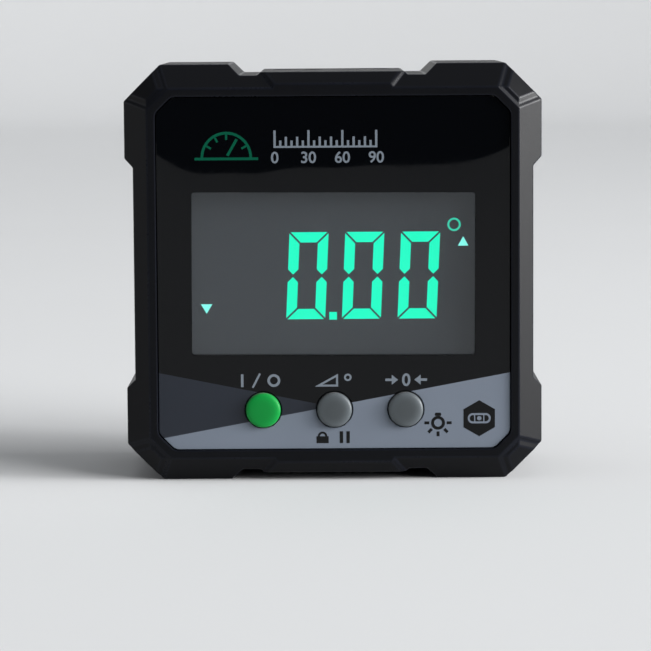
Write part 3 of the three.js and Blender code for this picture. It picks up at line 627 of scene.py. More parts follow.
def stood_up(bm, front, thickness):
    """Gives a flat drawing its thickness and stands it up with its front at a depth."""
    bmesh.ops.scale(bm, vec=(MM, MM, MM), verts=bm.verts)
    bmesh.ops.remove_doubles(bm, verts=bm.verts, dist=MERGE)
    bmesh.ops.recalc_face_normals(bm, faces=bm.faces)
    bmesh.ops.reverse_faces(bm, faces=[face for face in bm.faces if face.normal.z < 0])
    raised = bmesh.ops.extrude_face_region(bm, geom=bm.faces[:])["geom"]
    bmesh.ops.translate(bm, vec=(0, 0, thickness), verts=points_of(raised))
    bmesh.ops.recalc_face_normals(bm, faces=bm.faces)
    place = Vector((MIDDLE.x, front + thickness, MIDDLE.z))
    return placed(bm, place, Matrix.Rotation(math.pi / 2, 3, "X"))


class ADD_OT_inclinometer_stage(Operator):
    """Sets up the pale floor, the soft lamps and the camera"""

    bl_idname = "inclinometer.stage"
    bl_label = "Stage"

    # Each lamp: name, place in millimetres, width and height in millimetres, power in watts
    lamps = (
        ("Right softbox", (1680, -285, 328), (780, 750), 17.2),
        ("Left softbox", (-560, -95, 150), (200, 290), 0.077),
    )
    # A grid over each lamp keeps its light off the backdrop
    grid = math.radians(100)
    # Where the soft light comes from, as seen from the tool
    daylight_from = Vector((0.76, -0.5, 0.41))

    def surroundings(self, look):
        """A dim room whose ceiling grows paler towards straight above."""
        world = bpy.data.worlds.new("Studio")
        world.use_nodes = True
        world.node_tree.nodes.clear()
        node = functools.partial(add, world.node_tree)
        up = node("SeparateXYZ", {0: node("TexCoord")["Generated"]})["Z"]
        above = node("Math", {0: up, 1: 0.0}, operation="MAXIMUM")[0]
        lift = node("Math", {0: above, 1: 1.5}, operation="POWER")[0]
        shades = {6: tuple(look.walls), 7: tuple(look.ceiling)}
        room = node("Mix", {0: lift, **shades}, data_type="RGBA")[2]
        node("OutputWorld", {"Surface": node("Background", {"Color": room})[0]})
        return world

    def paper(self, look):
        """A sheet that lies on the table and bends up behind the tool."""
        bm = bmesh.new()

        def pulled(edge, way):
            verts = points_of(bmesh.ops.extrude_edge_only(bm, edges=[edge])["geom"])
            bmesh.ops.translate(bm, vec=way, verts=verts)
            return next(e for e in bm.edges if all(vert in verts for vert in e.verts))

        ends = [bm.verts.new((x, -look.floor_front, 0)) for x in (-look.floor_side, look.floor_side)]
        edge = pulled(bm.edges.new(ends), (0, look.floor_front + look.floor_back, 0))
        centre = (0, look.floor_back, look.sweep)
        geom = [*edge.verts, edge]
        bend = bmesh.ops.spin(bm, geom=geom, cent=centre, axis=(1, 0, 0), angle=math.pi / 2, steps=24)
        edge = next(item for item in bend["geom_last"] if isinstance(item, bmesh.types.BMEdge))
        pulled(edge, (0, 0, look.backdrop))
        for face in bm.faces:
            face.smooth = True
        return as_mesh(bm, "floor")

    def execute(self, context):
        look = context.scene.inclinometer_stage
        scene = context.scene
        scene.view_settings.view_transform = "Standard"
        scene.world = self.surroundings(look)
        floor = in_scene("floor", self.paper(look))
        floor.data.materials.append(matt_paper("Matt background paper", tuple(look.floor)))
        middle = (CAD_BOX[0] + CAD_BOX[1]) / 2
        for name, place, size, power in self.lamps:
            lamp = bpy.data.lights.new(name, "AREA")
            lamp.shape = "RECTANGLE"
            lamp.size, lamp.size_y = (side * MM for side in size)
            lamp.energy = power
            lamp.spread = self.grid
            holder = in_scene(name, lamp)
            holder.location = Vector(place) * MM
            holder.rotation_euler = (middle - holder.location).to_track_quat("-Z", "Y").to_euler()
            holder.visible_camera = False
        sun = bpy.data.lights.new("Soft daylight", "SUN")
        sun.energy = look.daylight
        sun.angle = look.softness
        in_scene(sun.name, sun).rotation_euler = (-self.daylight_from).to_track_quat("-Z", "Y").to_euler()
        view = bpy.data.cameras.new("Camera")
        view.lens = look.focal
        view.clip_start = 10 * MM
        scene.camera = in_scene("Camera", view)
        scene.camera.location = (look.camera_x, look.camera_y, look.camera_z)
        aim = Matrix.Rotation(look.yaw, 3, "Z") @ Matrix.Rotation(math.pi / 2 + look.pitch, 3, "X")
        scene.camera.rotation_euler = (aim @ Matrix.Rotation(look.roll, 3, "Z")).to_euler()
        return {"FINISHED"}


class ADD_OT_inclinometer_housing(Operator):
    """Adds the two shells with their moulded edges, their seal and their screws"""

    bl_idname = "inclinometer.housing"
    bl_label = "Housing"

    def execute(self, context):
        look = context.scene.inclinometer_housing
        bumper, end_face = 3.7 * MM, 0.05 * MM
        inner = BOX_HIGH.x - bumper

        def at_skin(point):
            at_end = point.y < RIM + end_face or point.y > REAR - end_face
            return at_end or max(abs(point.x - MIDDLE.x), abs(point.z - MIDDLE.z)) > inner

        def outside(edge):
            return all(at_skin(vert.co) for vert in edge.verts)

        # A gain of 4 paints the shells' rounded outer edges paler: partly wear, and partly a painted
        # highlight along the edges
        black = moulded(
            "ABS, spark-eroded black", tuple(look.plastic), 0.4, look.grain, look.relief, 0.13, wear_and_light_gain=4
        )
        for node in ("front_shell", "rear_shell"):
            bm = soften(copied(node), look.edge, outside, crease=math.radians(12))
            made_piece(bm, f"{node}_moulding", [black], [node])
        rubber = moulded("NBR rubber, moulded", linear("#141416"), 0.75, 0.3 * MM, 0.006 * MM, shine=0.3)
        softened_node("shell_seal", "shell_seal_ring", rubber, 0.15 * MM)
        for number in range(1, 5):
            tapping_screw(f"shell_screw_{number}", 1.0 * MM, 1.4 * MM, look)
        return {"FINISHED"}


class ADD_OT_inclinometer_lens(Operator):
    """Adds the lens with its polished edges, its printed wedges and its clear window"""

    bl_idname = "inclinometer.lens"
    bl_label = "Lens"

    # Ends of the two lines between the wedges, on the drawing plane in millimetres
    long_line = (-25.28, -24.40), (25.92, -14.92)
    short_line = (-26.14, -14.65), (-0.58, -19.81)

    def line(self, start, end):
        """A plane that stands on a line of the drawing, with its normal up."""
        start, end = (Vector((x * MM, 0, y * MM + MIDDLE.z)) for x, y in (start, end))
        return start, (end - start).cross(Vector((0, 1, 0))).normalized()

    def window(self, look):
        """Planes round the clear window, four for its sides and three for each corner."""
        left, right, top, bottom = look.window_left, look.window_right, look.window_top, look.window_bottom
        centre = Vector(((left + right) / 2, 0, (top + bottom) / 2 + MIDDLE.z))
        half_x, half_z, corner = (right - left) / 2, (top - bottom) / 2, look.window_corner
        rotation = Matrix.Rotation(-look.window_turn, 3, "Y")

        def plane(point, out):
            return centre + rotation @ Vector(point), rotation @ Vector(out)

        sides, corners = [], []
        for x, z in ((1, 0), (-1, 0), (0, 1), (0, -1)):
            sides.append(plane((x * half_x, 0, z * half_z), (x, 0, z)))
        for x, z in ((1, 1), (-1, 1), (-1, -1), (1, -1)):
            middle = Vector((x * (half_x - corner), 0, z * (half_z - corner)))
            for angle in (22.5, 45, 67.5):
                out = Vector((x * math.cos(math.radians(angle)), 0, z * math.sin(math.radians(angle))))
                corners.append(plane(middle + out * corner, out))
        return sides, corners

    def execute(self, context):
        look = context.scene.inclinometer_lens
        low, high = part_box("display_lens")
        border = 4 * MM
        rim = high.x - border
        bm = copied("display_lens")

        def front_edge(edge, outer):
            at_rim = all(max(abs(v.co.x), abs(v.co.z - MIDDLE.z)) > rim for v in edge.verts)
            return at_rim == outer and all(v.co.y < low.y + NEAR for v in edge.verts)

        def lies_at(face, depth, side):
            return face.normal.y * side > 0.99 and abs(face.calc_center_median().y - depth) < NEAR

        def inside(face, planes):
            centre = face.calc_center_median()
            return all((centre - point).dot(normal) < 0 for point, normal in planes)

        soften(bm, look.polish, lambda edge: front_edge(edge, True), 3)
        soften(bm, look.hole_polish, lambda edge: front_edge(edge, False), 2)
        sides, corners = self.window(look)
        for depth, side in ((low.y, -1), (high.y, 1)):
            for plane in sides:
                split(bm, [face for face in bm.faces if lies_at(face, depth, side)], *plane)
            for plane in corners:
                faces = [face for face in bm.faces if lies_at(face, depth, side) and inside(face, sides)]
                split(bm, faces, *plane)
        long_line, short_line = self.line(*self.long_line), self.line(*self.short_line)
        for plane in (long_line, short_line):
            split(bm, [face for face in bm.faces if face.normal.y < -0.05], *plane)
        for face in bm.faces:
            left = face.calc_center_median().x < self.short_line[1][0] * MM
            if abs(face.normal.y) > 0.99 and inside(face, sides + corners):
                face.material_index = 3
            elif face.normal.y < -0.05 and inside(face, [long_line]):
                face.material_index = 2
            elif face.normal.y < -0.05 and left and inside(face, [short_line]):
                face.material_index = 1
        materials = [
            glossy_print("Acrylic, back-printed black", tuple(look.black)),
            glossy_print("Acrylic, back-printed slate", tuple(look.slate)),
            glossy_print("Acrylic, back-printed pale", tuple(look.pale)),
            clear_acrylic("Acrylic, cast clear and coated", (0.97, 0.98, 0.98, 1), index=1.3),
        ]
        made_piece(bm, "lens_panel", materials, ["display_lens"], crease=math.radians(5))
        tape = moulded("Acrylic foam tape", linear("#d8d4c8"), 0.6, 0.4 * MM, 0.01 * MM)
        softened_node("lens_adhesive", "lens_tape", tape, 0.03 * MM)
        return {"FINISHED"}


class ADD_OT_inclinometer_print(Operator):
    """Adds the printed marks: a protractor, a scale, key symbols, a lamp and a level vial"""

    bl_idname = "inclinometer.print"
    bl_label = "Printed marks"

    # Middle of the small sign on the right of the pale panel
    sign = Vector((21.53, -21.73))

    def green(self, bm):
        """A small protractor with a pointer."""
        centre, radius, stroke = Vector((-15.75, 17.3)), 3.6, 0.4
        inner = radius - stroke / 2
        arc(bm, centre, radius, stroke, 0, math.pi, 40)
        ground = centre - Vector((0, stroke / 2))
        reach = Vector((radius + 1.1, 0))
        bar(bm, ground - reach, ground + reach, stroke)
        for tick in range(1, 6):
            out = Vector((math.cos(tick * math.pi / 6), math.sin(tick * math.pi / 6)))
            if tick == 2:
                bar(bm, centre + out * 0.3, centre + out * (inner - 0.3), stroke)
            else:
                bar(bm, centre + out * (inner - 0.8), centre + out * inner * 0.995, stroke * 0.8)

    def scale(self, bm):
        """A ruled scale with plain numbers below."""
        left, step, foot, ticks = -8.6, 5 / 6, 18.95, 18
        for tick in range(ticks + 1):
            tall = 2.3 if tick % 6 == 0 else 0.8 if tick % 2 else 1.35
            x = left + tick * step
            bar(bm, (x, foot), (x, foot + tall), 0.34)
        bar(bm, (left - 0.17, foot - 0.14), (left + ticks * step + 0.17, foot - 0.14), 0.28)
        for number in range(4):
            numeral(bm, str(number * 30), (left + number * 6 * step, 17.25), 1.72, 0.016)

    def keys(self, bm):
        """Symbols above the keys: on and off, slope, and back to nought."""
        low, high, stroke = -16.85, -14.93, 0.38
        middle, tall = (low + high) / 2, high - low
        bar(bm, (-13.7, low), (-13.7, high), stroke)
        bar(bm, (-12.15, low - 0.1), (-11.05, high + 0.1), stroke * 0.8)
        arc(bm, (-9.0, middle), tall / 2 - stroke / 2, stroke)
        outlined(bm, [(-2.95, low), (0.55, low), (0.55, high)], stroke * 0.8)
        arc(bm, (2.0, high - 0.55), 0.42, stroke * 0.75, steps=24)
        nought = 10.68
        numeral(bm, "0", (nought, middle), tall, 0.022)
        for side in (-1, 1):
            tip, shoulder, tail = (nought + side * out for out in (1.2, 2.15, 3.1))
            flat(bm, [(tip, middle), (shoulder, middle + 0.75), (shoulder, middle - 0.75)])
            bar(bm, (shoulder, middle), (tail, middle), stroke)

    def dark(self, bm):
        """On the pale panel: a padlock, a pause sign, a lamp and the ground of a small sign."""
        low, high = -25.33, -23.56
        bar(bm, (-2.7, low + 0.52), (-0.9, low + 0.52), 1.04)
        arc(bm, (-1.8, low + 1.04), 0.55, 0.3, 0, math.pi, 20)
        for x in (1.0, 2.0):
            bar(bm, (x, low), (x, high), 0.5)
        lamp = Vector((15.40, -22.38))
        arc(bm, lamp, 0.81, 0.44, steps=40)
        cap = ((-0.4, 1.04), (0.4, 1.04), (0.5, 1.2), (0.38, 1.52), (-0.38, 1.52), (-0.5, 1.2))
        flat(bm, [lamp + Vector(point) for point in cap])
        for angle in (0, 180, 225, 270, 315):
            out = Vector((math.cos(math.radians(angle)), math.sin(math.radians(angle))))
            bar(bm, lamp + out * 1.3, lamp + out * 2.02, 0.42)
        corners = [math.radians(30 + 60 * i) for i in range(6)]
        flat(bm, [self.sign + Vector((math.cos(a), math.sin(a))) * 2.7 for a in corners])

    def vial(self, bm):
        """A level vial with its bubble."""
        centre, end, bend, stroke = self.sign, 0.95, 0.62, 0.3
        for side in (-1, 1):
            arc(bm, centre + Vector((side * end, 0)), bend, stroke, -side * math.pi / 2, math.pi, 24)
            y = centre.y + side * bend
            bar(bm, (centre.x - end, y), (centre.x + end, y), stroke)
            x = centre.x + side * 0.68
            bar(bm, (x, centre.y - bend + stroke / 2), (x, centre.y + bend - stroke / 2), 0.17)
        bubble = Matrix.Translation(centre.to_3d())
        bmesh.ops.create_circle(bm, cap_ends=True, segments=24, radius=0.33, matrix=bubble)

    def execute(self, context):
        look = context.scene.inclinometer_lens
        marks = (
            ("print_protractor", self.green, "green", look.green_mark, 1, "green_button"),
            ("print_scale", self.scale, "grey", look.grey_mark, 1, "grey_button"),
            ("print_keys", self.keys, "grey", look.grey_mark, 1, "grey_button"),
            ("print_panel", self.dark, "dark", look.dark_mark, 1, "housing"),
            ("print_vial", self.vial, "pale", look.pale, 2, "grey_button"),
        )
        for name, draw, word, colour, layer, slot in marks:
            bm = bmesh.new()
            draw(bm)
            stood_up(bm, LENS_FRONT - look.ink * layer, look.ink * 1.5)
            made_piece(bm, name, [glossy_print(f"Acrylic, back-printed {word}", tuple(colour))])
        return {"FINISHED"}


class ADD_OT_inclinometer_display(Operator):
    """Adds the display glass, its lit digits and arrows, its frame and its lighting"""

    bl_idname = "inclinometer.display"
    bl_label = "Display"

    def nought(self, bm, look, left):
        """One nought of six mitred segments whose upright ones end in points at mid height."""
        sizes = (look.digit_width, look.digit_height, look.stroke, look.gap, look.digit_bottom)
        width, height, stroke, gap, bottom = (size / MM for size in sizes)
        ring = bmesh.new()
        outlined(ring, [(0, 0), (width, 0), (width, height), (0, height)], stroke)
        for x in (stroke / 2, width - stroke / 2):

            def upright():
                return [f for f in ring.faces if abs(f.calc_center_median().x - x) < stroke / 2]

            near = upright()
            for slope in (-1, 1):
                split(ring, near, Vector((x, height / 2, 0)), (1, slope, 0))
                near = upright()
            waste = [f for f in near if abs(f.calc_center_median().y - height / 2) < stroke * 0.2]
            bmesh.ops.delete(ring, geom=waste, context="FACES")
        ring.normal_update()
        rims = bmesh.ops.inset_individual(
            ring, faces=ring.faces[:], thickness=gap / 2, use_even_offset=True
        )
        bmesh.ops.delete(ring, geom=rims["faces"], context="FACES")
        bmesh.ops.delete(ring, geom=[v for v in ring.verts if not v.link_faces], context="VERTS")
        leaning = Matrix.Translation((left, bottom, 0))
        leaning[0][1] = look.lean
        bmesh.ops.transform(ring, matrix=leaning, verts=ring.verts)
        mesh = as_mesh(ring, "nought")
        bm.from_mesh(mesh)
        bpy.data.meshes.remove(mesh)

    def digits(self, bm, look):
        for digit in range(3):
            self.nought(bm, look, (look.digit_left + digit * look.digit_pitch) / MM)
        bar(bm, (-0.695, -6.5), (0.455, -6.5), 1.15)

    def degree(self, bm, look):
        arc(bm, (17.95, 7.04), 0.85, 0.29, steps=48)

    def arrows(self, bm, look):
        flat(bm, ((18.50, 3.86), (20.10, 3.86), (19.30, 5.27)))
        flat(bm, ((-19.83, -4.64), (-18.97, -6.08), (-18.11, -4.64)))

    def execute(self, context):
        look = context.scene.inclinometer_display
        fine = context.scene.inclinometer_housing.fine_edge
        low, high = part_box("lcd_glass")
        seam, inset = 0.1 * MM, 0.5 * MM
        bm = copied("lcd_glass")
        half = (low.y + high.y) / 2
        for depth in (half - seam / 2, half + seam / 2):
            split(bm, bm.faces[:], Vector((0, depth, 0)), (0, 1, 0))
        groove = [f for f in bm.faces if abs(f.calc_center_median().y - half) < seam / 4]
        bmesh.ops.inset_region(bm, faces=groove, thickness=0, depth=-seam)
        front = [f for f in bm.faces if f.normal.y < -0.99]
        bmesh.ops.inset_region(bm, faces=front, thickness=inset, depth=0)
        for face in front:
            face.material_index = 1
        soften(bm, fine, lambda edge: all(abs(v.co.y - half) > seam for v in edge.verts))
        glass = moulded("Soda-lime glass, ground edges", linear("#5b6668"), 0.2, 1.0 * MM, 0.001 * MM)
        film = display_film("Polarising film", tuple(look.film), 0.5)
        made_piece(bm, "display_cell", [glass, film], ["lcd_glass"])
        for name, draw, word, colour in (
            ("display_digits", self.digits, "green", look.lit),
            ("display_degree", self.degree, "dim green", look.lit_ring),
            ("display_arrows", self.arrows, "pale green", look.lit_pale),
        ):
            bm = bmesh.new()
            draw(bm, look)
            stood_up(bm, DISPLAY_FRONT - 0.03 * MM, 0.04 * MM)
            lit = lit_segment(f"Liquid crystal, lit {word}", tuple(colour))
            made_piece(bm, name, [lit])
        white = moulded("Polycarbonate, moulded white", linear("#e0e0dc"), 0.5, 0.4 * MM, 0.003 * MM)
        strip = striped("Silicone strip, layered", linear("#2b2226"), linear("#d9a7b0"), 0.18 * MM)
        guide = clear_acrylic("Acrylic, light guide", linear("#cfeee2"), 0.2)
        foil = plated("Polyester film, silvered", linear("#eceeee"), 0.25, 2 * MM)
        softened_node("lcd_frame", "display_frame", white, fine)
        softened_node("lcd_connector", "display_connector", strip, fine)
        softened_node("backlight_guide", "display_guide", guide, fine)
        softened_node("backlight_reflector", "display_reflector", foil, 0.04 * MM)
        lamp = lit_segment("Epoxy lamp, lit green", linear("#1fe6a8"))
        for number in (1, 2):
            softened_node(f"backlight_led_{number}", f"display_lamp_{number}", lamp, fine)
        return {"FINISHED"}


class ADD_OT_inclinometer_keys(Operator):
    """Adds the three keys, their switches and plungers, and the sheet that seals them"""

    bl_idname = "inclinometer.keys"
    bl_label = "Keys"

    def crown(self, look, front):
        """Radius and depth pairs over a key's face, from its middle to its rim."""
        power = 2 / look.fullness
        for step in range(CROWN_STEPS + 1):
            angle = step / CROWN_STEPS * math.pi / 2
            out = max(0.0, math.sin(angle)) ** power
            up = max(0.0, math.cos(angle)) ** power
            yield look.radius * out, front + look.crown * (1 - up)

    def paint_rim_light(self, bm, look, front):
        """Paints light on the rim of a key's face, through the layer that also marks worn edges: a painted
        highlight for the light that silicone lets through, palest towards the rim.
        """
        pale = bm.loops.layers.float["wear_and_light"]
        faces = [face for face in bm.faces if face.calc_center_median().y < front + look.crown]
        for loop in (loop for face in faces for loop in face.loops):
            out = math.hypot(loop.vert.co.x, loop.vert.co.z) / look.radius
            share = (out - look.rim_light_start) / (look.rim_light_full - look.rim_light_start)
            loop[pale] = min(1.0, max(0.0, share)) ** 1.5

    def execute(self, context):
        look = context.scene.inclinometer_keys
        fine = context.scene.inclinometer_housing.fine_edge
        # The gain in each row paints that key's rim paler: a painted rim light for light through the
        # silicone
        green, grey = (
            moulded(name, tuple(colour), 0.5, 0.5 * MM, 0.002 * MM, shine, 0.05, wear_and_light_gain, 0.1)
            for name, colour, shine, wear_and_light_gain in (
                ("Silicone, moulded green", look.green, 0.15, 1.5),
                ("Silicone, moulded key grey", look.grey, 0.3, 2.3),
            )
        )
        ivory = moulded("POM, moulded grey", linear("#9a9a9a"), 0.45, 0.4 * MM, 0.002 * MM)
        black = moulded("Nylon, moulded black", linear("#1d1d1f"), 0.55, 0.4 * MM, 0.004 * MM)
        seal_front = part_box("button_seal")[1].y
        seal_back = seal_front + look.flange
        for key, silicone, slot in (
            ("power", green, "green_button"),
            ("hold", grey, "grey_button"),
            ("zero", grey, "grey_button"),
        ):
            body = f"{key}_key"
            low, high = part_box(f"{key}_button")
            flange = (high.x - low.x) / 2
            profile = [*self.crown(look, low.y), (look.radius, seal_front), (flange, seal_front)]
            profile += [(flange, seal_back), (look.post, seal_back), (look.post, high.y), (0, high.y)]
            bm = turned(profile)
            soften(bm, fine, lambda edge: all(v.co.y > seal_front - NEAR for v in edge.verts))
            # Painted rim light on the key's face
            self.paint_rim_light(bm, look, low.y)
            placed(bm, Vector(((low.x + high.x) / 2, 0, (low.z + high.z) / 2)))
            made_piece(bm, f"{key}_key_cap", [silicone], [f"{key}_button"], body)
            softened_node(f"{key}_plunger", f"{key}_key_plunger", ivory, fine, body)
            softened_node(f"{key}_switch", f"{key}_switch_body", black, fine)
        sheet = moulded("Silicone, moulded grey", linear("#62666a"), 0.7, 0.4 * MM, 0.004 * MM, 0.3)
        softened_node("button_seal", "key_seal_sheet", sheet, fine)
        return {"FINISHED"}


class ADD_OT_inclinometer_board(Operator):
    """Adds the circuit board, its chips and its screws"""

    bl_idname = "inclinometer.board"
    bl_label = "Circuit board"

    def legs(self, bm, low, high):
        """Gull-wing legs round a chip that stands on its front face."""
        pitch, count, out, thick, wide = 0.8 * MM, 8, 1.0 * MM, 0.12 * MM, 0.34 * MM
        centre = (low + high) / 2
        half, tall = (high.x - low.x) / 2, (high.y - low.y) / 2
        side = [(0, tall), (out * 0.45, tall), (out * 0.6, thick), (out, thick), (out, 0)]
        side += [(out * 0.5, 0), (out * 0.35, tall - thick), (0, tall - thick)]
        leg = bmesh.new()
        face = leg.faces.new([leg.verts.new((half + x, y, -wide / 2)) for x, y in side])
        grown = bmesh.ops.extrude_face_region(leg, geom=[face])["geom"]
        bmesh.ops.translate(leg, vec=(0, 0, wide), verts=points_of(grown))
        bmesh.ops.recalc_face_normals(leg, faces=leg.faces)
        mesh = as_mesh(leg, "leg")
        place = Matrix.Translation((centre.x, low.y, centre.z))
        for quarter in range(4):
            rotation = Matrix.Rotation(quarter * math.pi / 2, 4, "Y")
            for number in range(count):
                along = Matrix.Translation((0, 0, (number - (count - 1) / 2) * pitch))
                before = set(bm.verts)
                bm.from_mesh(mesh)
                added = [vert for vert in bm.verts if vert not in before]
                bmesh.ops.transform(bm, matrix=place @ rotation @ along, verts=added)
                for face in {f for vert in added for f in vert.link_faces}:
                    face.material_index = 1
        bpy.data.meshes.remove(mesh)

    def execute(self, context):
        housing = context.scene.inclinometer_housing
        fine = housing.fine_edge
        mask = laminate("Glass epoxy, green solder mask", linear("#14562f"), linear("#2c7a44"))
        softened_node("circuit_board", "board_laminate_plate", mask, fine)
        resin = moulded("Epoxy, moulded black", linear("#1a1a1b"), 0.5, 0.2 * MM, 0.004 * MM)
        tin = plated("Copper, tinned", linear("#b9bbbd"), 0.3)
        bm = soften(copied("microcontroller"), 0.12 * MM)
        self.legs(bm, *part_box("microcontroller"))
        made_piece(bm, "microcontroller_chip", [resin, tin], ["microcontroller"])
        lid = moulded("Ceramic, glazed dark grey", linear("#3a3a3c"), 0.35, 0.3 * MM, 0.002 * MM)
        softened_node("tilt_sensor", "tilt_sensor_lid", lid, fine)
        can = plated("Nickel silver, drawn can", linear("#c8cacc"), 0.28)
        softened_node("clock_crystal", "clock_crystal_can", can, fine)
        for number in range(1, 5):
            tapping_screw(f"board_screw_{number}", 0.75 * MM, 0.8 * MM, housing)
        return {"FINISHED"}


class ADD_OT_inclinometer_power(Operator):
    """Adds the two cells, their springs and contacts, and the leads to the board"""

    bl_idname = "inclinometer.power"
    bl_label = "Cells and contacts"

    def cell(self, number, look, materials):
        """A cell with a rolled sleeve, a steel cap and a flat steel base."""
        node = f"battery_cell_{number}"
        low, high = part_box(node)
        radius, long = (high.y - low.y) / 2, high.x - low.x
        cap = long - 0.9 * MM
        lip, roll = 0.18 * MM, 0.6 * MM
        base, step, button, dimple = radius - 1.0 * MM, 2.4 * MM, 1.9 * MM, 0.02 * MM
        profile = [
            (0, dimple),
            (base - 0.1 * MM, dimple),
            (base, lip),
            (radius - roll, lip),
            (radius - roll * 0.8, 0),
            (radius, roll * 0.8),
            (radius, cap - look.sleeve_band),
            (radius, cap - roll * 1.4),
            (radius - 0.12 * MM, cap - roll * 1.2),
            (radius, cap - roll),
            (radius - roll, cap),
            (radius - roll * 1.6, cap),
            (radius - roll * 1.8, cap - lip),
            (step, cap - lip),
            (step - 0.1 * MM, cap - 0.05 * MM),
            (button, cap),
            (button, long),
            (0, long),
        ]
        bm = soften(turned(profile), 0.1 * MM, crease=math.radians(32))
        for face in bm.faces:
            centre = face.calc_center_median()
            out = math.hypot(centre.x, centre.z)
            steel_reach = base if centre.y < roll else step + 0.05 * MM
            if out < steel_reach:
                face.material_index = 2
            elif centre.y > cap - lip * 1.4 and out < radius - roll * 1.7:
                face.material_index = 3
            elif centre.y > cap - look.sleeve_band:
                face.material_index = 1
        way, start = (-1, low.x) if number == 1 else (1, high.x)
        rotation = Matrix.Rotation(way * math.pi / 2, 3, "Z")
        placed(bm, Vector((start, (low.y + high.y) / 2, (low.z + high.z) / 2)), rotation)
        made_piece(bm, f"{node}_sleeved", materials, [node])

    def spring(self, number, look, steel):
        """A conical spring, wide at its contact plate."""
        node = f"cell_spring_{number}"
        low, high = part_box(node)
        cell_low, cell_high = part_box(f"battery_cell_{number}")
        middle = (cell_low + cell_high) / 2
        way = 1 if number == 1 else -1
        plate, free = (low.x + look.wire / 2, high.x - look.wire / 2)[::way]
        steps = int(look.turns * 28)
        curve = bpy.data.curves.new("spring", "CURVE")
        curve.dimensions = "3D"
        curve.bevel_depth = look.wire / 2
        curve.bevel_resolution = 3
        curve.use_fill_caps = True
        line = curve.splines.new("POLY")
        line.points.add(steps)
        for step, point in enumerate(line.points):
            share = step / steps
            radius = look.wide + (look.narrow - look.wide) * share
            angle = share * look.turns * FULL_TURN * way
            y, z = middle.y + radius * math.cos(angle), middle.z + radius * math.sin(angle)
            point.co = (plate + (free - plate) * share, y, z, 1)
        mesh = from_curve("spring", curve)
        bm = bmesh.new()
        bm.from_mesh(mesh)
        bpy.data.meshes.remove(mesh)
        bmesh.ops.remove_doubles(bm, verts=bm.verts, dist=MERGE)
        bmesh.ops.recalc_face_normals(bm, faces=bm.faces)
        made_piece(bm, f"{node}_wire", [steel], [node])

    def execute(self, context):
        look = context.scene.inclinometer_power
        fine = context.scene.inclinometer_housing.fine_edge
        steel = plated("Steel, nickel-plated", tuple(look.nickel), 0.28)
        film = (0.3, 0.8 * MM, 0.002 * MM, 0.5, 0.06)
        sleeve = moulded("PVC sleeve, printed blue", tuple(look.sleeve), *film)
        band = moulded("PVC sleeve, printed grey", tuple(look.band), *film)
        washer = moulded("Pressboard washer", linear("#c9c3b2"), 0.7, 0.3 * MM, 0.004 * MM)
        for number in (1, 2):
            self.cell(number, look, [sleeve, band, steel, washer])
            self.spring(number, look, steel)
        for name in ("negative", "positive", "link"):
            softened_node(f"contact_{name}", f"contact_{name}_strip", steel, fine)
        for node, slot, colour in (
            ("lead_negative", "black_lead", "#17171a"),
            ("lead_positive", "red_lead", "#a5201c"),
        ):
            pvc = moulded(f"PVC, extruded {slot}", linear(colour), 0.45, 1.0 * MM, 0.002 * MM)
            piece = made_piece(copied(node), f"{node}_wire", [pvc], [node])
            rounder = piece.modifiers.new("Rounder", "SUBSURF")
            rounder.levels = rounder.render_levels = 1
        return {"FINISHED"}


class ADD_OT_inclinometer_cover(Operator):
    """Adds the battery cover, its seal and its screws"""

    bl_idname = "inclinometer.cover"
    bl_label = "Battery cover"

    def execute(self, context):
        look = context.scene.inclinometer_housing
        low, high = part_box("battery_cover")
        middle = (low + high) / 2
        margin, shortest = 2.1 * MM, 0.3 * MM
        reach = high - middle - Vector((margin, margin, margin))

        def at_rim(edge):
            at = [v.co - middle for v in edge.verts]
            return all(v.y > 0 and (abs(v.x) > reach.x or abs(v.z) > reach.z) for v in at)

        def at_ridge(edge):
            return not at_rim(edge) and edge.calc_length() > shortest

        bm = soften(copied("battery_cover"), look.cover_edge, at_rim, 4)
        soften(bm, look.fine_edge, at_ridge, 2, math.radians(60))
        black = tuple(look.cover_plastic)
        plastic = moulded("ABS, fine-eroded black", black, 0.44, 0.25 * MM, 0.005 * MM, 0.22)
        made_piece(bm, "battery_cover_plate", [plastic], ["battery_cover"], "rear_cover")
        silicone = moulded("Silicone, moulded dark", linear("#4b4e52"), 0.7, 0.4 * MM, 0.004 * MM, 0.3)
        softened_node("cover_seal", "cover_seal_ring", silicone, 0.06 * MM, "rear_cover")
        for number in (1, 2):
            tapping_screw(f"cover_screw_{number}", 0.9 * MM, 0.9 * MM, look, "rear_cover")
        return {"FINISHED"}


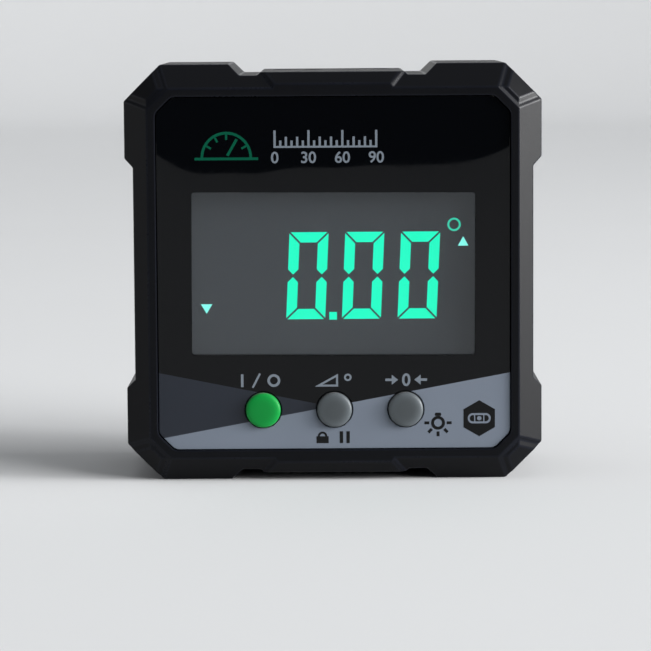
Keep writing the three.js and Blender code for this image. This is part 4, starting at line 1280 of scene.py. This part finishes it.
class ADD_OT_inclinometer_magnets(Operator):
    """Adds the eight magnets in the four edges"""

    bl_idname = "inclinometer.magnets"
    bl_label = "Magnets"

    def execute(self, context):
        look = context.scene.inclinometer_power
        plating = plated("Neodymium magnet, nickel-plated", tuple(look.nickel), 0.2, 0.9 * MM)
        for edge, axis in (("bottom", "X"), ("top", "X"), ("left", "Z"), ("right", "Z")):
            for number in (1, 2):
                node = f"magnet_{edge}_{number}"
                low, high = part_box(node)
                radius, half = max(high - low) / 2, min(high - low) / 2
                profile = [(0, -half), (radius, -half), (radius, half), (0, half)]
                bm = soften(turned(profile), look.magnet_edge, segments=3)
                placed(bm, (low + high) / 2, Matrix.Rotation(math.pi / 2, 3, axis))
                made_piece(bm, f"{node}_disc", [plating], [node])
        return {"FINISHED"}


class VIEW3D_PT_inclinometer(Panel):
    """Lists what the inclinometer is made of, with its sizes and colours"""

    bl_label = "Inclinometer"
    bl_space_type = "VIEW_3D"
    bl_region_type = "UI"
    bl_category = "Inclinometer"

    def draw(self, context):
        for operator in OPERATORS:
            self.layout.operator(operator.bl_idname)
        for name, kind in LOOKS.items():
            box = self.layout.box()
            box.label(text=kind.__doc__)
            for key in kind.__annotations__:
                box.prop(getattr(context.scene, name), key)


OPERATORS = (
    ADD_OT_inclinometer_stage,
    ADD_OT_inclinometer_housing,
    ADD_OT_inclinometer_lens,
    ADD_OT_inclinometer_print,
    ADD_OT_inclinometer_display,
    ADD_OT_inclinometer_keys,
    ADD_OT_inclinometer_board,
    ADD_OT_inclinometer_power,
    ADD_OT_inclinometer_cover,
    ADD_OT_inclinometer_magnets,
)
LOOKS = {
    "inclinometer_stage": StageLook,
    "inclinometer_housing": HousingLook,
    "inclinometer_lens": LensLook,
    "inclinometer_display": DisplayLook,
    "inclinometer_keys": KeyLook,
    "inclinometer_power": PowerLook,
}


def register():
    for kind in (*LOOKS.values(), *OPERATORS, VIEW3D_PT_inclinometer):
        bpy.utils.register_class(kind)
    for name, kind in LOOKS.items():
        setattr(bpy.types.Scene, name, PointerProperty(type=kind))


def unregister():
    for name in LOOKS:
        delattr(bpy.types.Scene, name)
    for kind in (VIEW3D_PT_inclinometer, *reversed(OPERATORS), *reversed(LOOKS.values())):
        bpy.utils.unregister_class(kind)


def main():
    register()
    for operator in OPERATORS:
        group, name = operator.bl_idname.split(".")
        getattr(getattr(bpy.ops, group), name)()


if __name__ == "__main__":
    main()
